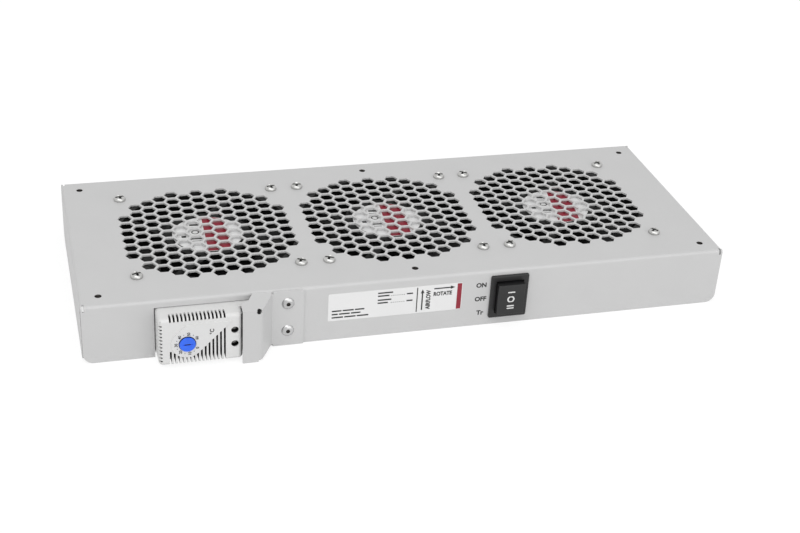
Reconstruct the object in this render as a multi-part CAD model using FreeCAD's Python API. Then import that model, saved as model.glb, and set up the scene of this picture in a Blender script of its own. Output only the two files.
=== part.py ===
"""Rack fan tray: a folded sheet tray with three axial fans, a thermostat and a rocker switch.

Frame: millimetres, +Z up. The origin is the centre of the top panel's outer face, +X runs along
the tray and +Y points to the back, so the thermostat and the switch are on the -Y flange.
"""
import FreeCAD
import Part
import math
import os

V = FreeCAD.Vector
X_AXIS = V(1, 0, 0)
Y_AXIS = V(0, 1, 0)
Z_AXIS = V(0, 0, 1)

SEAT_GAP = 0.3              # between pieces that lie close without touching

# ---------------------------------------------------------------- fans
FAN_SIZE = 119.0            # square of the fan frame
FAN_DEPTH = 38.0
FAN_GAP = 4.5               # between neighbouring frames
FAN_NAMES = ("left", "middle", "right")
FAN_HOLE_IN = 7.0           # hole axes from the frame's sides
FAN_CORNER_R = 7.0
FAN_RIM = 2.2               # wall between the bore and the frame's sides
VENTURI_FLARE = 1.4         # the bore opens by this much at each face
VENTURI_H = 5.0
MOTOR_BASE_R = 29.0
MOTOR_BASE_T = 3.2
MOTOR_RECESS = 1.3          # motor base below the fan's top face
STRUT_COUNT = 4
STRUT_W = 5.0
STRUT_T = 4.0
STRUT_OFFSET = 14.0         # struts pass beside the axis
BEARING_TUBE_R = 7.5
BEARING_TUBE_LEN = 24.0

# ---------------------------------------------------------------- impellers
BLADE_COUNT = 7
HUB_R = 31.5
HUB_WALL = 2.0
HUB_GAP = 1.2               # motor base to the rim of the hub
HUB_BOTTOM_RECESS = 1.6     # hub above the fan's bottom face
BLADE_TIP_GAP = 1.2
BLADE_T = 1.8
BLADE_TOP_GAP = 1.8         # blade edge below the struts
BLADE_ROOT_ANGLE = 42.0     # from the plane of rotation
BLADE_TIP_ANGLE = 27.0
BLADE_CAMBER = 0.12         # sagitta as a share of the chord
BLADE_STEPS = 6             # flat strips along a blade's curved sides
BLADE_CHORD_SHARE = 0.86    # of the room between neighbouring blades, at most
BLADE_EDGE_SHARE = 0.5      # of the blade's thickness, left at its edges
BLADE_LOW_GAP = 1.0         # blade edge above the hub's front
BLADE_TRIM = 1.5            # drawn past the tip and then turned off
IMPELLER_TURN = (8.0, 31.0, 19.0)
ROTOR_RING_T = 3.2
ROTOR_RING_H = 16.0
STATOR_H = 14.0
STATOR_AIR_GAP = 0.8
STATOR_POLES = 4
STATOR_SLOT_W = 3.0
STATOR_SLOT_IN = 0.45       # inner end of the slots, as a share of the core's radius
WINDING_R = 0.72            # as a share of the core's radius
WINDING_OVER = 2.0          # winding past both faces of the core
STATOR_DOWN = 1.0           # core below the rotor's open end
SHAFT_R = 2.0
SHAFT_FIT = 0.05            # running fit in the bearings, radial
BEARING_R = 5.5
BEARING_H = 5.0
BEARING_LAND = 1.0          # step in the tube that each bearing sits against
SHAFT_BOSS_R = 5.0

# ---------------------------------------------------------------- fan labels
LABEL_T = 0.15
FAN_LABEL_R = 23.4

# ---------------------------------------------------------------- tray
SHEET = 1.2
END_BAY = 30.5              # outer frames to the tray's end faces
SIDE_BAY = 23.8             # frames to the front and back faces
TRAY_H = 40.6
BEND_R = 2.0                # outer radius
FLANGE_CORNER_R = 6.5
FLANGE_END_GAP = 0.3
RELIEF_W = 1.3              # corner relief slots where the bends meet
RELIEF_RUN = 1.6
HEX_PITCH = 10.0
HEX_FLAT = 8.4
MOUNT_INSET = 12.0
MOUNT_HOLE_R = 2.2          # M5 core, in an extruded collar
MOUNT_COLLAR_WALL = 1.1
MOUNT_COLLAR_H = 2.0

# ---------------------------------------------------------------- fan fasteners (M4)
SCREW_R = 2.0
SCREW_CLEARANCE = 0.25
SCREW_HEAD_R = 4.0
SCREW_HEAD_H = 2.7
SCREW_HEAD_EDGE = 1.2
SCREW_RECESS_W = 1.1
SCREW_RECESS_R = 2.3
SCREW_RECESS_DEPTH = 1.5
NUT_FLATS = 7.0
NUT_H = 3.2
NUT_DOWN = 4.5              # frame's top face to its captive nuts
NUT_FIT = 0.15              # nut to the walls of its slot
SCREW_TIP = 1.5             # screw past its nut

# ---------------------------------------------------------------- thermostat
STAT_LEFT_IN = 44.9         # tray's left face to the thermostat's left face
STAT_W = 60.0
STAT_H = 33.0
STAT_TOP_DOWN = 5.3         # top panel's outer face to the thermostat's top
STAT_DEPTH = 31.3
STAT_STEP_W = 8.0           # lower wiring end under the hood
STAT_STEP_BACK = 8.5
STAT_WALL = 1.6
STAT_EDGE_R = 2.2           # front edges along the top and the underside
STAT_END_R = 3.0            # front edges at both ends
STAT_BASE_T = 2.0
STAT_BAND_R = 9.8           # raised band round the dial and up to the right
STAT_BAND_H = 0.6
STAT_SLOTS = 15
STAT_SLOT_PITCH = 2.38
STAT_SLOT_W = 1.2
STAT_SLOT_IN = 7.3          # left face to the first slot
STAT_SLOT_BACK = 7.0        # how far the slots run back on the top and underside
STAT_TOP_SLOT_DOWN = 2.3
STAT_SIDE_SLOTS = 11
STAT_SIDE_SLOT_PITCH = 2.52
STAT_SIDE_SLOT_W = 1.0
STAT_SIDE_SLOT_DOWN = 4.6
STAT_SIDE_SLOT_RUN = 2.3
DIAL_IN = 17.5              # left face to the dial's axis
DIAL_DOWN = 18.1            # top face to the dial's axis
DIAL_R = 5.0
DIAL_PROUD = 1.0
DIAL_EDGE = 0.3
DIAL_SHAFT_R = 2.5
DIAL_FIT = 0.06
DIAL_GAP = 0.3
DIAL_SLOT_L = 6.0
DIAL_SLOT_W = 1.0
DIAL_SLOT_DEPTH = 0.7
TERMINAL_IN = 46.9          # left face to the terminal holes
TERMINAL_PITCH = 10.0
TERMINAL_HOLE_R = 2.35
TERMINAL_SCREW_R = 1.9
TERMINAL_WALL = 1.2
TERMINAL_SCREW_DOWN = 3.2
TERMINAL_SCREW_LEN = 5.0
BLOCK_H = 22.0
BIMETAL_T = 0.8
BIMETAL_RISE = 2.2
BIMETAL_INS = (2.0, 3.0)    # strip's ends from the dial's shaft and from the terminal screws
RAIL_W = 35.0               # plate that the thermostat hooks on
RAIL_T = 1.2
RAIL_FLANGE = 12.0
RAIL_CLEAR = 3.7            # plate to the fan behind it
HOOK_T = 1.6
HOOK_H = 20.0
WINDOW_GAP = 0.7
WINDOW_TOP_GAP = 0.5

# ---------------------------------------------------------------- hood over the wiring end
HOOD_PROUD = 2.6            # hood's outer face in front of the thermostat
HOOD_LAP = 0.6              # hood's free edge over the thermostat's raised front
HOOD_FRONT_W = 11.9
HOOD_SIDE_RUN = 9.3         # run of the slanting side along the tray
HOOD_FLANGE_W = 20.4
HOOD_TOP_DOWN = 0.5
HOOD_LID_DROP = 2.6         # fall of the lid from the flange to the front
HOOD_LID_TWIST = 0.7        # the lid's rear edge is lower by this much at the slanting side
HOOD_FRONT_SLOPE = 0.24     # of the lid's front facet
HOOD_SIDE_BEND_R = 4.0
HOOD_LID_STRAIGHT = 7.5     # free edge of the lid: straight stretch, then two slanting ones
HOOD_LID_RUNS = ((5.3, 3.1), (3.0, 5.2))
HOOD_CORNER_R = 2.5
HOOD_VERTEX_R = 1.75        # hole where the front, the side and the lid meet
HOOD_VERTEX_IN = 1.0
HOOD_VERTEX_AIM = (-0.3, 1.0, -0.5)
HOOD_NOTCH_W = 1.4
HOOD_NOTCH_H = 1.6
HOOD_FOOT_UP = 1.2          # the slanting side ends above the foot of the front
HOOD_FOOT_RISE = 0.9
RIVET_R = 2.0
RIVET_HEAD_R = 4.1
RIVET_HEAD_H = 1.5
RIVET_BORE_R = 1.1
RIVET_PITCH = 20.0
RIVET_TAIL_H = 1.6
RIVET_TAIL_SPREAD = 1.45    # set tail to stem
RIVET_UP = 0.7              # pair of rivets above the flange's middle
RIVET_IN = 10.3             # rivet axis from the flange's free edge

# ---------------------------------------------------------------- rocker switch
SWITCH_X = 61.3
SWITCH_DOWN = 19.4          # top panel's outer face to the switch's centre
BEZEL_W = 25.8
BEZEL_H = 31.3
BEZEL_T = 2.0
BEZEL_EDGE = 0.6
BEZEL_R = 1.2
SWITCH_BODY_W = 21.6
SWITCH_BODY_H = 28.0
SWITCH_BODY_DEPTH = 13.5
SWITCH_CUTOUT_GAP = 0.2
SWITCH_WALL = 1.35
OPENING_RIM = 0.8           # bezel rim that overhangs the body's wall at both ends
ROCKER_END_GAP = 0.2        # left at a tilted rocker's end
ROCKER_SIDE_GAP = 0.3
ROCKER_PIVOT_BACK = 1.0     # pivot axis behind the flange's outer face
ROCKER_PROUD = 4.4          # rocker's face in front of the bezel
ROCKER_TAIL = 4.0           # half height of its inner end, and that end's reach behind the pivot
ROCKER_DISH = 0.7
ROCKER_TRAVEL = 10.0
ROCKER_PIN_R = 1.0
ROCKER_PIN_FIT = 0.06
ROCKER_PIN_LEN = 0.9
BLADE_TAB_W = 4.8
BLADE_TAB_T = 0.8
BLADE_TAB_LEN = 7.0
SWITCH_TAB_PITCH = 8.0

# ---------------------------------------------------------------- front label
FRONT_LABEL_X = -15.3
FRONT_LABEL_DOWN = 16.6
FRONT_LABEL_W = 89.0
FRONT_LABEL_H = 20.0
FRONT_LABEL_R = 1.0

# ---------------------------------------------------------------- wiring parts inside
FAN_TAB_W = 2.8
FAN_TAB_T = 0.5
FAN_TAB_PITCH = 6.0
FAN_TAB_X = 27.0
FAN_TAB_POCKET = 3.4        # terminals stand in a pocket of the frame, flush with its side
FAN_TAB_POCKET_W = 13.0
FAN_TAB_POCKET_H = 6.0
BLOCK_POLES = 3
POLE_PITCH = 10.0
POLE_GAP = 2.4
POLE_LEN = 18.0
POLE_H = 13.0
POLE_SCREW_R = 1.8
BLOCK_FIX_R = 1.5
BLOCK_FIX_HEAD_R = 2.8
BLOCK_FIX_HEAD_H = 1.8
BLOCK_FIX_HEAD_EDGE = 0.8
BLOCK_FIX_BITE = 2.0        # block's foot, which the fixing screws reach through
GROMMET_IN = 62.0           # tray's right face to the cable inlet
GROMMET_HOLE_R = 6.0
GROMMET_LIP_R = 8.0
GROMMET_LIP_T = 1.6
GROMMET_BORE_R = 4.0

# ---------------------------------------------------------------- worked-out places
FAN_PITCH = FAN_SIZE + FAN_GAP
FAN_COUNT = len(FAN_NAMES)
FAN_XS = [(i - (FAN_COUNT - 1) / 2.0) * FAN_PITCH for i in range(FAN_COUNT)]
TRAY_W = FAN_COUNT * FAN_SIZE + (FAN_COUNT - 1) * FAN_GAP + 2.0 * END_BAY
TRAY_D = FAN_SIZE + 2.0 * SIDE_BAY
FRONT_Y = -TRAY_D / 2.0
FAN_TOP = -SHEET
FAN_BOTTOM = FAN_TOP - FAN_DEPTH
FAN_BORE_R = FAN_SIZE / 2.0 - FAN_RIM
FAN_HOLE_PITCH = FAN_SIZE - 2.0 * FAN_HOLE_IN
FAN_FRONT_Y = -FAN_SIZE / 2.0
MOTOR_TOP = FAN_TOP - MOTOR_RECESS
MOTOR_UNDER = MOTOR_TOP - MOTOR_BASE_T
HUB_TOP = MOTOR_UNDER - HUB_GAP
HUB_BOTTOM = FAN_BOTTOM + HUB_BOTTOM_RECESS
BEARING_TUBE_END = MOTOR_UNDER - BEARING_TUBE_LEN

RAIL_Y = FAN_FRONT_Y - RAIL_CLEAR - RAIL_T
STAT_BACK_Y = RAIL_Y - STAT_BASE_T
STAT_FRONT_Y = STAT_BACK_Y - STAT_DEPTH
STAT_X0 = -TRAY_W / 2.0 + STAT_LEFT_IN
STAT_X1 = STAT_X0 + STAT_W
STAT_STEP_X = STAT_X1 - STAT_STEP_W
STAT_TOP = -STAT_TOP_DOWN
STAT_BOTTOM = STAT_TOP - STAT_H
STAT_MID_Z = (STAT_TOP + STAT_BOTTOM) / 2.0
DIAL_X = STAT_X0 + DIAL_IN
DIAL_Z = STAT_TOP - DIAL_DOWN
TERMINAL_X = STAT_X0 + TERMINAL_IN
TERMINAL_ZS = [STAT_MID_Z + s * TERMINAL_PITCH / 2.0 for s in (1, -1)]
BLOCK_FRONT_Y = STAT_FRONT_Y + TERMINAL_SCREW_DOWN + TERMINAL_SCREW_LEN

HOOD_Y = STAT_FRONT_Y - HOOD_PROUD
HOOD_X0 = STAT_STEP_X - HOOD_LAP
HOOD_X1 = HOOD_X0 + HOOD_FRONT_W
HOOD_FLANGE_X0 = HOOD_X1 + HOOD_SIDE_RUN
HOOD_FLANGE_X1 = HOOD_FLANGE_X0 + HOOD_FLANGE_W
HOOD_FLANGE_Y = FRONT_Y - SHEET
RIVET_X = HOOD_FLANGE_X1 - RIVET_IN
RIVET_ZS = [RIVET_UP - TRAY_H / 2.0 + s * RIVET_PITCH / 2.0 for s in (1, -1)]

SWITCH_Z = -SWITCH_DOWN
SWITCH_FACE_Y = FRONT_Y - BEZEL_T
SWITCH_BACK_Y = FRONT_Y + SWITCH_BODY_DEPTH
OPENING_W = SWITCH_BODY_W - 2.0 * SWITCH_WALL
OPENING_H = SWITCH_BODY_H - 2.0 * (SWITCH_WALL + OPENING_RIM)
PIVOT_Y = FRONT_Y + ROCKER_PIVOT_BACK


# ---------------------------------------------------------------- helpers
def box(x0, x1, y0, y1, z0, z1):
    """Box from its lower to its upper corner."""
    return Part.makeBox(x1 - x0, y1 - y0, z1 - z0, V(x0, y0, z0))


def face_of(points):
    """Flat face inside a closed polygon."""
    return Part.Face(Part.makePolygon(points + [points[0]]))


def rounded_plate(x0, x1, z0, z1, y, radius, thickness):
    """Upright plate with rounded corners; its front face is at y."""
    plate = box(x0, x1, y, y + thickness, z0, z1)
    edges = [e for e in plate.Edges if abs(e.tangentAt(e.FirstParameter).y) > 0.9]
    return plate.makeFillet(radius, edges)


def edges_where(shape, test):
    """Edges whose middle point passes the test."""
    found = []
    for edge in shape.Edges:
        middle = edge.valueAt((edge.FirstParameter + edge.LastParameter) / 2.0)
        if test(middle):
            found.append(edge)
    return found


def near(a, b):
    return abs(a - b) < 1e-4


def polar(radius, degrees, z=0.0):
    angle = math.radians(degrees)
    return V(radius * math.cos(angle), radius * math.sin(angle), z)


def arc(start, middle, end):
    return Part.Arc(start, middle, end).toShape()


def save(name, shapes):
    """Write one node; several solids go in as one compound."""
    solids = []
    for shape in shapes:
        solids.extend(shape.Solids)
    whole = solids[0] if len(solids) == 1 else Part.makeCompound(solids)
    whole.exportStep(os.path.join("parts", name + ".step"))


# ---------------------------------------------------------------- tray
def hexagon(cx, cy):
    """Cutter of one grille hole, with two flats towards +Y and -Y."""
    corner_r = HEX_FLAT / math.sqrt(3.0)
    points = [V(cx, cy, -2.0 * SHEET) + polar(corner_r, 60 * k) for k in range(6)]
    return face_of(points).extrude(V(0, 0, 3.0 * SHEET))


def grille_centres():
    """Hexagon centres, about one fan's axis, that lie within the fan's frame."""
    column = HEX_PITCH * math.sqrt(3.0) / 2.0
    reach = FAN_SIZE / 2.0
    last = int(reach / column)
    rows = int(reach / HEX_PITCH) + 1
    centres = []
    for i in range(-last, last + 1):
        shift = HEX_PITCH / 2.0 if i % 2 == 0 else 0.0
        for j in range(-rows, rows + 1):
            x = i * column
            y = j * HEX_PITCH + shift
            if math.hypot(x, y) <= reach:
                centres.append((x, y))
    return centres


def fan_hole_centres():
    half = FAN_HOLE_PITCH / 2.0
    return [(fan_x + sx * half, sy * half) for fan_x in FAN_XS for sx in (-1, 1) for sy in (-1, 1)]


def mount_centres():
    x = TRAY_W / 2.0 - MOUNT_INSET
    y = TRAY_D / 2.0 - MOUNT_INSET
    return [(sx * x, sy * y) for sx in (-1, 0, 1) for sy in (-1, 1)]


def panel_cutters():
    """Grilles and the fans' screw holes in the top panel."""
    screw_hole = SCREW_R + SCREW_CLEARANCE
    cutters = [hexagon(fan_x + cx, cy) for fan_x in FAN_XS for cx, cy in grille_centres()]
    cutters += [Part.makeCylinder(screw_hole, 3.0 * SHEET, V(cx, cy, -2.0 * SHEET))
                for cx, cy in fan_hole_centres()]
    return cutters


def flange(span, reach):
    """One flange and its bend, on the -Y side, with rounded lower corners."""
    half = span / 2.0
    inner = BEND_R - SHEET
    c = V(-half, -reach + BEND_R, -BEND_R)
    s = math.sqrt(0.5)
    bend = Part.Wire([
        arc(c + V(0, 0, BEND_R), c + V(0, -s * BEND_R, s * BEND_R), c + V(0, -BEND_R, 0)),
        Part.makeLine(c + V(0, -BEND_R, 0), c + V(0, -inner, 0)),
        arc(c + V(0, -inner, 0), c + V(0, -s * inner, s * inner), c + V(0, 0, inner)),
        Part.makeLine(c + V(0, 0, inner), c + V(0, 0, BEND_R)),
    ])
    bend = Part.Face(bend).extrude(V(span, 0, 0))
    leg = box(-half, half, -reach, -reach + SHEET, -TRAY_H, -BEND_R)
    low = edges_where(leg, lambda p: near(abs(p.x), half) and near(p.z, -TRAY_H))
    leg = leg.makeFillet(FLANGE_CORNER_R, low)
    return bend.fuse(leg)


def corner_reliefs():
    """Slots in the front and back bends where they meet the end bends."""
    cuts = []
    x = TRAY_W / 2.0 - BEND_R
    y_in = TRAY_D / 2.0 - BEND_R - RELIEF_RUN
    low = -BEND_R - RELIEF_RUN
    for sx in (-1, 1):
        for sy in (-1, 1):
            y0 = min(sy * y_in, sy * TRAY_D)
            y1 = max(sy * y_in, sy * TRAY_D)
            cuts.append(box(sx * x - RELIEF_W / 2.0, sx * x + RELIEF_W / 2.0, y0, y1, low, SHEET))
    return cuts


def front_cutouts():
    """Thermostat window, switch cut-out and rivet holes of the front flange."""
    y0 = FRONT_Y - SHEET
    y1 = FRONT_Y + 2.0 * SHEET
    window = box(STAT_X0 - WINDOW_GAP, STAT_X1 + WINDOW_GAP, y0, y1,
                 -TRAY_H - SHEET, STAT_TOP + WINDOW_TOP_GAP)
    half_w = SWITCH_BODY_W / 2.0 + SWITCH_CUTOUT_GAP
    half_h = SWITCH_BODY_H / 2.0 + SWITCH_CUTOUT_GAP
    switch = box(SWITCH_X - half_w, SWITCH_X + half_w, y0, y1, SWITCH_Z - half_h, SWITCH_Z + half_h)
    rivets = [Part.makeCylinder(RIVET_R, y1 - y0, V(RIVET_X, y0, z), Y_AXIS) for z in RIVET_ZS]
    return [window, switch] + rivets


def grommet_place():
    return V(TRAY_W / 2.0 - GROMMET_IN, TRAY_D / 2.0, -TRAY_H / 2.0)


def block_fix_points():
    """Two fixing screws of the terminal block, on the right-hand flange."""
    offset = (BLOCK_POLES - 1) * POLE_PITCH / 2.0
    return [V(TRAY_W / 2.0, s * offset / 2.0, -TRAY_H / 2.0) for s in (-1, 1)]


def tray_panel():
    front_span = TRAY_W - 2.0 * FLANGE_END_GAP
    end_span = TRAY_D - 2.0 * (BEND_R + FLANGE_END_GAP)
    sides = []
    for turn, span, reach in ((0, front_span, TRAY_D / 2.0), (90, end_span, TRAY_W / 2.0),
                              (180, front_span, TRAY_D / 2.0), (270, end_span, TRAY_W / 2.0)):
        side = flange(span, reach)
        side.rotate(V(0, 0, 0), Z_AXIS, turn)
        sides.append(side)
    collars = []
    bores = []
    for x, y in mount_centres():
        low = -SHEET - MOUNT_COLLAR_H
        collars.append(Part.makeCylinder(MOUNT_HOLE_R + MOUNT_COLLAR_WALL, MOUNT_COLLAR_H, V(x, y, low)))
        bores.append(Part.makeCylinder(MOUNT_HOLE_R, MOUNT_COLLAR_H + SHEET, V(x, y, low)))
    x = TRAY_W / 2.0 - BEND_R
    y = TRAY_D / 2.0 - BEND_R
    body = box(-x, x, -y, y, -SHEET, 0).multiFuse(sides + collars)
    place = grommet_place()
    inlet = Part.makeCylinder(GROMMET_HOLE_R, 2.0 * SHEET, place - V(0, 2.0 * SHEET, 0) + V(0, SHEET / 2.0, 0), Y_AXIS)
    fixings = [Part.makeCylinder(BLOCK_FIX_R + SCREW_CLEARANCE, 2.0 * SHEET, p - V(1.5 * SHEET, 0, 0), X_AXIS)
               for p in block_fix_points()]
    body = body.cut(front_cutouts() + corner_reliefs() + bores + [inlet] + fixings)
    return body.cut(Part.makeCompound(panel_cutters())).removeSplitter()


# ---------------------------------------------------------------- fan frame and what it carries
def frame_hole_points():
    """Axes of the frame's four holes, about its own axis."""
    half = FAN_HOLE_PITCH / 2.0
    return [V(x, y, 0) for x in (-half, half) for y in (-half, half)]


def nut_slot(p):
    """Slot from the frame's side that holds one nut by its flats."""
    half_w = NUT_FLATS / 2.0 + NUT_FIT
    inner = abs(p.y) - NUT_FLATS / math.sqrt(3.0) - NUT_FIT
    top = FAN_TOP - NUT_DOWN
    slot = box(p.x - half_w, p.x + half_w, inner, FAN_SIZE / 2.0, top - NUT_H - NUT_FIT, top)
    return slot if p.y > 0 else slot.mirror(V(0, 0, 0), Y_AXIS)


def terminal_pocket():
    """Pocket in the frame's rear side round the fan's two blade terminals."""
    half = FAN_TAB_POCKET_W / 2.0
    mid_z = (FAN_TOP + FAN_BOTTOM) / 2.0
    return box(FAN_TAB_X - half, FAN_TAB_X + half, FAN_SIZE / 2.0 - FAN_TAB_POCKET, FAN_SIZE / 2.0,
               mid_z - FAN_TAB_POCKET_H / 2.0, mid_z + FAN_TAB_POCKET_H / 2.0)


def fan_frame():
    """Frame about its own axis: a closed square block with a flared bore, struts and the motor base."""
    half = FAN_SIZE / 2.0
    block = box(-half, half, -half, half, FAN_BOTTOM, FAN_TOP)
    corners = edges_where(block, lambda p: near(abs(p.x), half) and near(abs(p.y), half))
    block = block.makeFillet(FAN_CORNER_R, corners)
    flare_r = FAN_BORE_R + VENTURI_FLARE
    bore = face_of([
        V(0, 0, FAN_TOP), V(flare_r, 0, FAN_TOP), V(FAN_BORE_R, 0, FAN_TOP - VENTURI_H),
        V(FAN_BORE_R, 0, FAN_BOTTOM + VENTURI_H), V(flare_r, 0, FAN_BOTTOM),
        V(0, 0, FAN_BOTTOM)]).revolve(V(0, 0, 0), Z_AXIS, 360)
    cutters = [bore, terminal_pocket()]
    for p in frame_hole_points():
        cutters.append(Part.makeCylinder(SCREW_R + SCREW_CLEARANCE, FAN_DEPTH, p + V(0, 0, FAN_BOTTOM)))
        cutters.append(nut_slot(p))
    return block.cut(cutters).multiFuse([motor_base()] + struts()).removeSplitter()


def motor_base():
    """Disc and bearing tube on the fan's axis, with the two bearing seats."""
    disc = Part.makeCylinder(MOTOR_BASE_R, MOTOR_BASE_T, V(0, 0, MOTOR_UNDER))
    tube = Part.makeCylinder(BEARING_TUBE_R, BEARING_TUBE_LEN, V(0, 0, BEARING_TUBE_END))
    land = Part.makeCylinder(BEARING_R - BEARING_LAND, BEARING_TUBE_LEN, V(0, 0, BEARING_TUBE_END))
    seats = [Part.makeCylinder(BEARING_R, BEARING_H, V(0, 0, z)) for z in bearing_zs()]
    return disc.fuse(tube).cut([land] + seats)


def bearing_zs():
    """Lower faces of the two bearings, flush with the tube's ends."""
    return (BEARING_TUBE_END, MOTOR_UNDER - BEARING_H)


def struts():
    """Straight struts from the motor base to the bore's wall, passing beside the axis."""
    reach = FAN_BORE_R + FAN_RIM / 2.0
    keep = Part.makeCylinder(reach, STRUT_T, V(0, 0, MOTOR_TOP - STRUT_T))
    hollow = Part.makeCylinder(MOTOR_BASE_R - STRUT_W / 2.0, STRUT_T, V(0, 0, MOTOR_TOP - STRUT_T))
    bars = []
    for k in range(STRUT_COUNT):
        bar = box(0, reach, STRUT_OFFSET, STRUT_OFFSET + STRUT_W, MOTOR_TOP - STRUT_T, MOTOR_TOP)
        bar.rotate(V(0, 0, 0), Z_AXIS, 45.0 + k * 360.0 / STRUT_COUNT)
        bars.append(bar.common(keep).cut(hollow))
    return bars


def fan_tabs():
    mid_z = (FAN_TOP + FAN_BOTTOM) / 2.0
    tabs = []
    for s in (-1, 1):
        x = FAN_TAB_X + s * FAN_TAB_PITCH / 2.0
        tabs.append(box(x - FAN_TAB_T / 2.0, x + FAN_TAB_T / 2.0, FAN_SIZE / 2.0 - FAN_TAB_POCKET, FAN_SIZE / 2.0,
                        mid_z - FAN_TAB_W / 2.0, mid_z + FAN_TAB_W / 2.0))
    return tabs


def stator():
    """Laminated core with salient poles and its winding, on the bearing tube."""
    core_r = HUB_R - HUB_WALL - ROTOR_RING_T - STATOR_AIR_GAP
    top = HUB_TOP - STATOR_AIR_GAP - STATOR_DOWN
    low = top - STATOR_H - WINDING_OVER
    core = Part.makeCylinder(core_r, STATOR_H, V(0, 0, top - STATOR_H))
    slots = []
    for k in range(STATOR_POLES):
        slot = box(core_r * STATOR_SLOT_IN, core_r + STATOR_SLOT_W, -STATOR_SLOT_W / 2.0, STATOR_SLOT_W / 2.0,
                   top - STATOR_H, top)
        slot.rotate(V(0, 0, 0), Z_AXIS, 45.0 + k * 360.0 / STATOR_POLES)
        slots.append(slot)
    core = core.cut(slots)
    winding = Part.makeCylinder(core_r * WINDING_R, STATOR_H + 2.0 * WINDING_OVER, V(0, 0, low))
    bore = Part.makeCylinder(BEARING_TUBE_R, STATOR_H + 2.0 * WINDING_OVER, V(0, 0, low))
    return core.fuse(winding).cut(bore).removeSplitter()


def bearings():
    rings = []
    for z in bearing_zs():
        ring = Part.makeCylinder(BEARING_R, BEARING_H, V(0, 0, z))
        bore = Part.makeCylinder(SHAFT_R + SHAFT_FIT, BEARING_H, V(0, 0, z))
        rings.append(ring.cut(bore))
    return rings


# ---------------------------------------------------------------- impeller
def blade_section(radius, angle):
    """Closed cambered wire at one radius, in the plane square to the +X radius."""
    height = blade_height()
    chord = height / math.sin(math.radians(BLADE_ROOT_ANGLE))
    chord = min(chord, 2.0 * math.pi * radius / BLADE_COUNT * BLADE_CHORD_SHARE)
    a = math.radians(angle)
    along = V(0, math.cos(a), math.sin(a))
    across = V(0, -math.sin(a), math.cos(a))
    mid = V(radius, 0, (blade_top() + blade_bottom()) / 2.0)
    nose = mid - along * (chord / 2.0)
    tail = mid + along * (chord / 2.0)
    camber = across * (BLADE_CAMBER * chord)
    half_t = across * (BLADE_T / 2.0)
    edge_t = half_t * BLADE_EDGE_SHARE
    upper = arc(nose + edge_t, mid + camber + half_t, tail + edge_t).discretize(BLADE_STEPS + 1)
    lower = arc(tail - edge_t, mid + camber - half_t, nose - edge_t).discretize(BLADE_STEPS + 1)
    return Part.makePolygon(upper + lower + [upper[0]])


def blade_top():
    return MOTOR_TOP - STRUT_T - BLADE_TOP_GAP


def blade_bottom():
    return HUB_BOTTOM + BLADE_LOW_GAP


def blade_height():
    return blade_top() - blade_bottom()


def impeller():
    """Moulded hub cup with swept blades, open towards the motor base."""
    height = HUB_TOP - HUB_BOTTOM
    hub = Part.makeCylinder(HUB_R, height, V(0, 0, HUB_BOTTOM))
    low_edge = edges_where(hub, lambda p: near(p.z, HUB_BOTTOM))
    hub = hub.makeChamfer(HUB_WALL, low_edge)
    tip_r = FAN_BORE_R - BLADE_TIP_GAP
    blade = Part.makeLoft([blade_section(HUB_R - HUB_WALL, BLADE_ROOT_ANGLE),
                           blade_section(tip_r + BLADE_TRIM, BLADE_TIP_ANGLE)], True, True)
    sweep = Part.makeCylinder(tip_r, blade_height(), V(0, 0, blade_bottom()))
    blade = blade.common(sweep)
    blades = []
    for k in range(BLADE_COUNT):
        copy = blade.copy()
        copy.rotate(V(0, 0, 0), Z_AXIS, k * 360.0 / BLADE_COUNT)
        blades.append(copy)
    body = hub.multiFuse(blades)
    cup = Part.makeCylinder(HUB_R - HUB_WALL, height, V(0, 0, HUB_BOTTOM + HUB_WALL))
    body = body.cut(cup)
    boss = Part.makeCylinder(SHAFT_BOSS_R, boss_top() - HUB_BOTTOM - HUB_WALL, V(0, 0, HUB_BOTTOM + HUB_WALL))
    bore = Part.makeCylinder(SHAFT_R, height, V(0, 0, HUB_BOTTOM + HUB_WALL))
    return body.fuse(boss).cut(bore).removeSplitter()


def boss_top():
    """The shaft boss ends just below the bearing tube."""
    return BEARING_TUBE_END - HUB_GAP


def rotor_ring():
    """Steel ring pressed into the cup, round the stator."""
    outer = HUB_R - HUB_WALL
    z = HUB_TOP - ROTOR_RING_H - 1.0
    ring = Part.makeCylinder(outer, ROTOR_RING_H, V(0, 0, z))
    return ring.cut(Part.makeCylinder(outer - ROTOR_RING_T, ROTOR_RING_H, V(0, 0, z)))


def rotor_shaft():
    low = HUB_BOTTOM + HUB_WALL
    high = MOTOR_UNDER - SEAT_GAP
    return Part.makeCylinder(SHAFT_R, high - low, V(0, 0, low))


def fan_label():
    return Part.makeCylinder(FAN_LABEL_R, LABEL_T, V(0, 0, MOTOR_TOP))


def fan_screw(x, y):
    """Pan-head screw with a cross recess, through the panel into the nut in the frame's corner."""
    length = SHEET + NUT_DOWN + NUT_H + SCREW_TIP
    shank = Part.makeCylinder(SCREW_R, length, V(x, y, -length))
    head = Part.makeCylinder(SCREW_HEAD_R, SCREW_HEAD_H, V(x, y, 0))
    rim = edges_where(head, lambda p: near(p.z, SCREW_HEAD_H))
    head = head.makeChamfer(SCREW_HEAD_EDGE, rim)
    z = SCREW_HEAD_H - SCREW_RECESS_DEPTH
    cross = box(x - SCREW_RECESS_R, x + SCREW_RECESS_R, y - SCREW_RECESS_W / 2.0,
                y + SCREW_RECESS_W / 2.0, z, SCREW_HEAD_H)
    other = cross.copy()
    other.rotate(V(x, y, 0), Z_AXIS, 90)
    return head.fuse(shank).cut([cross, other]).removeSplitter()


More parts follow.
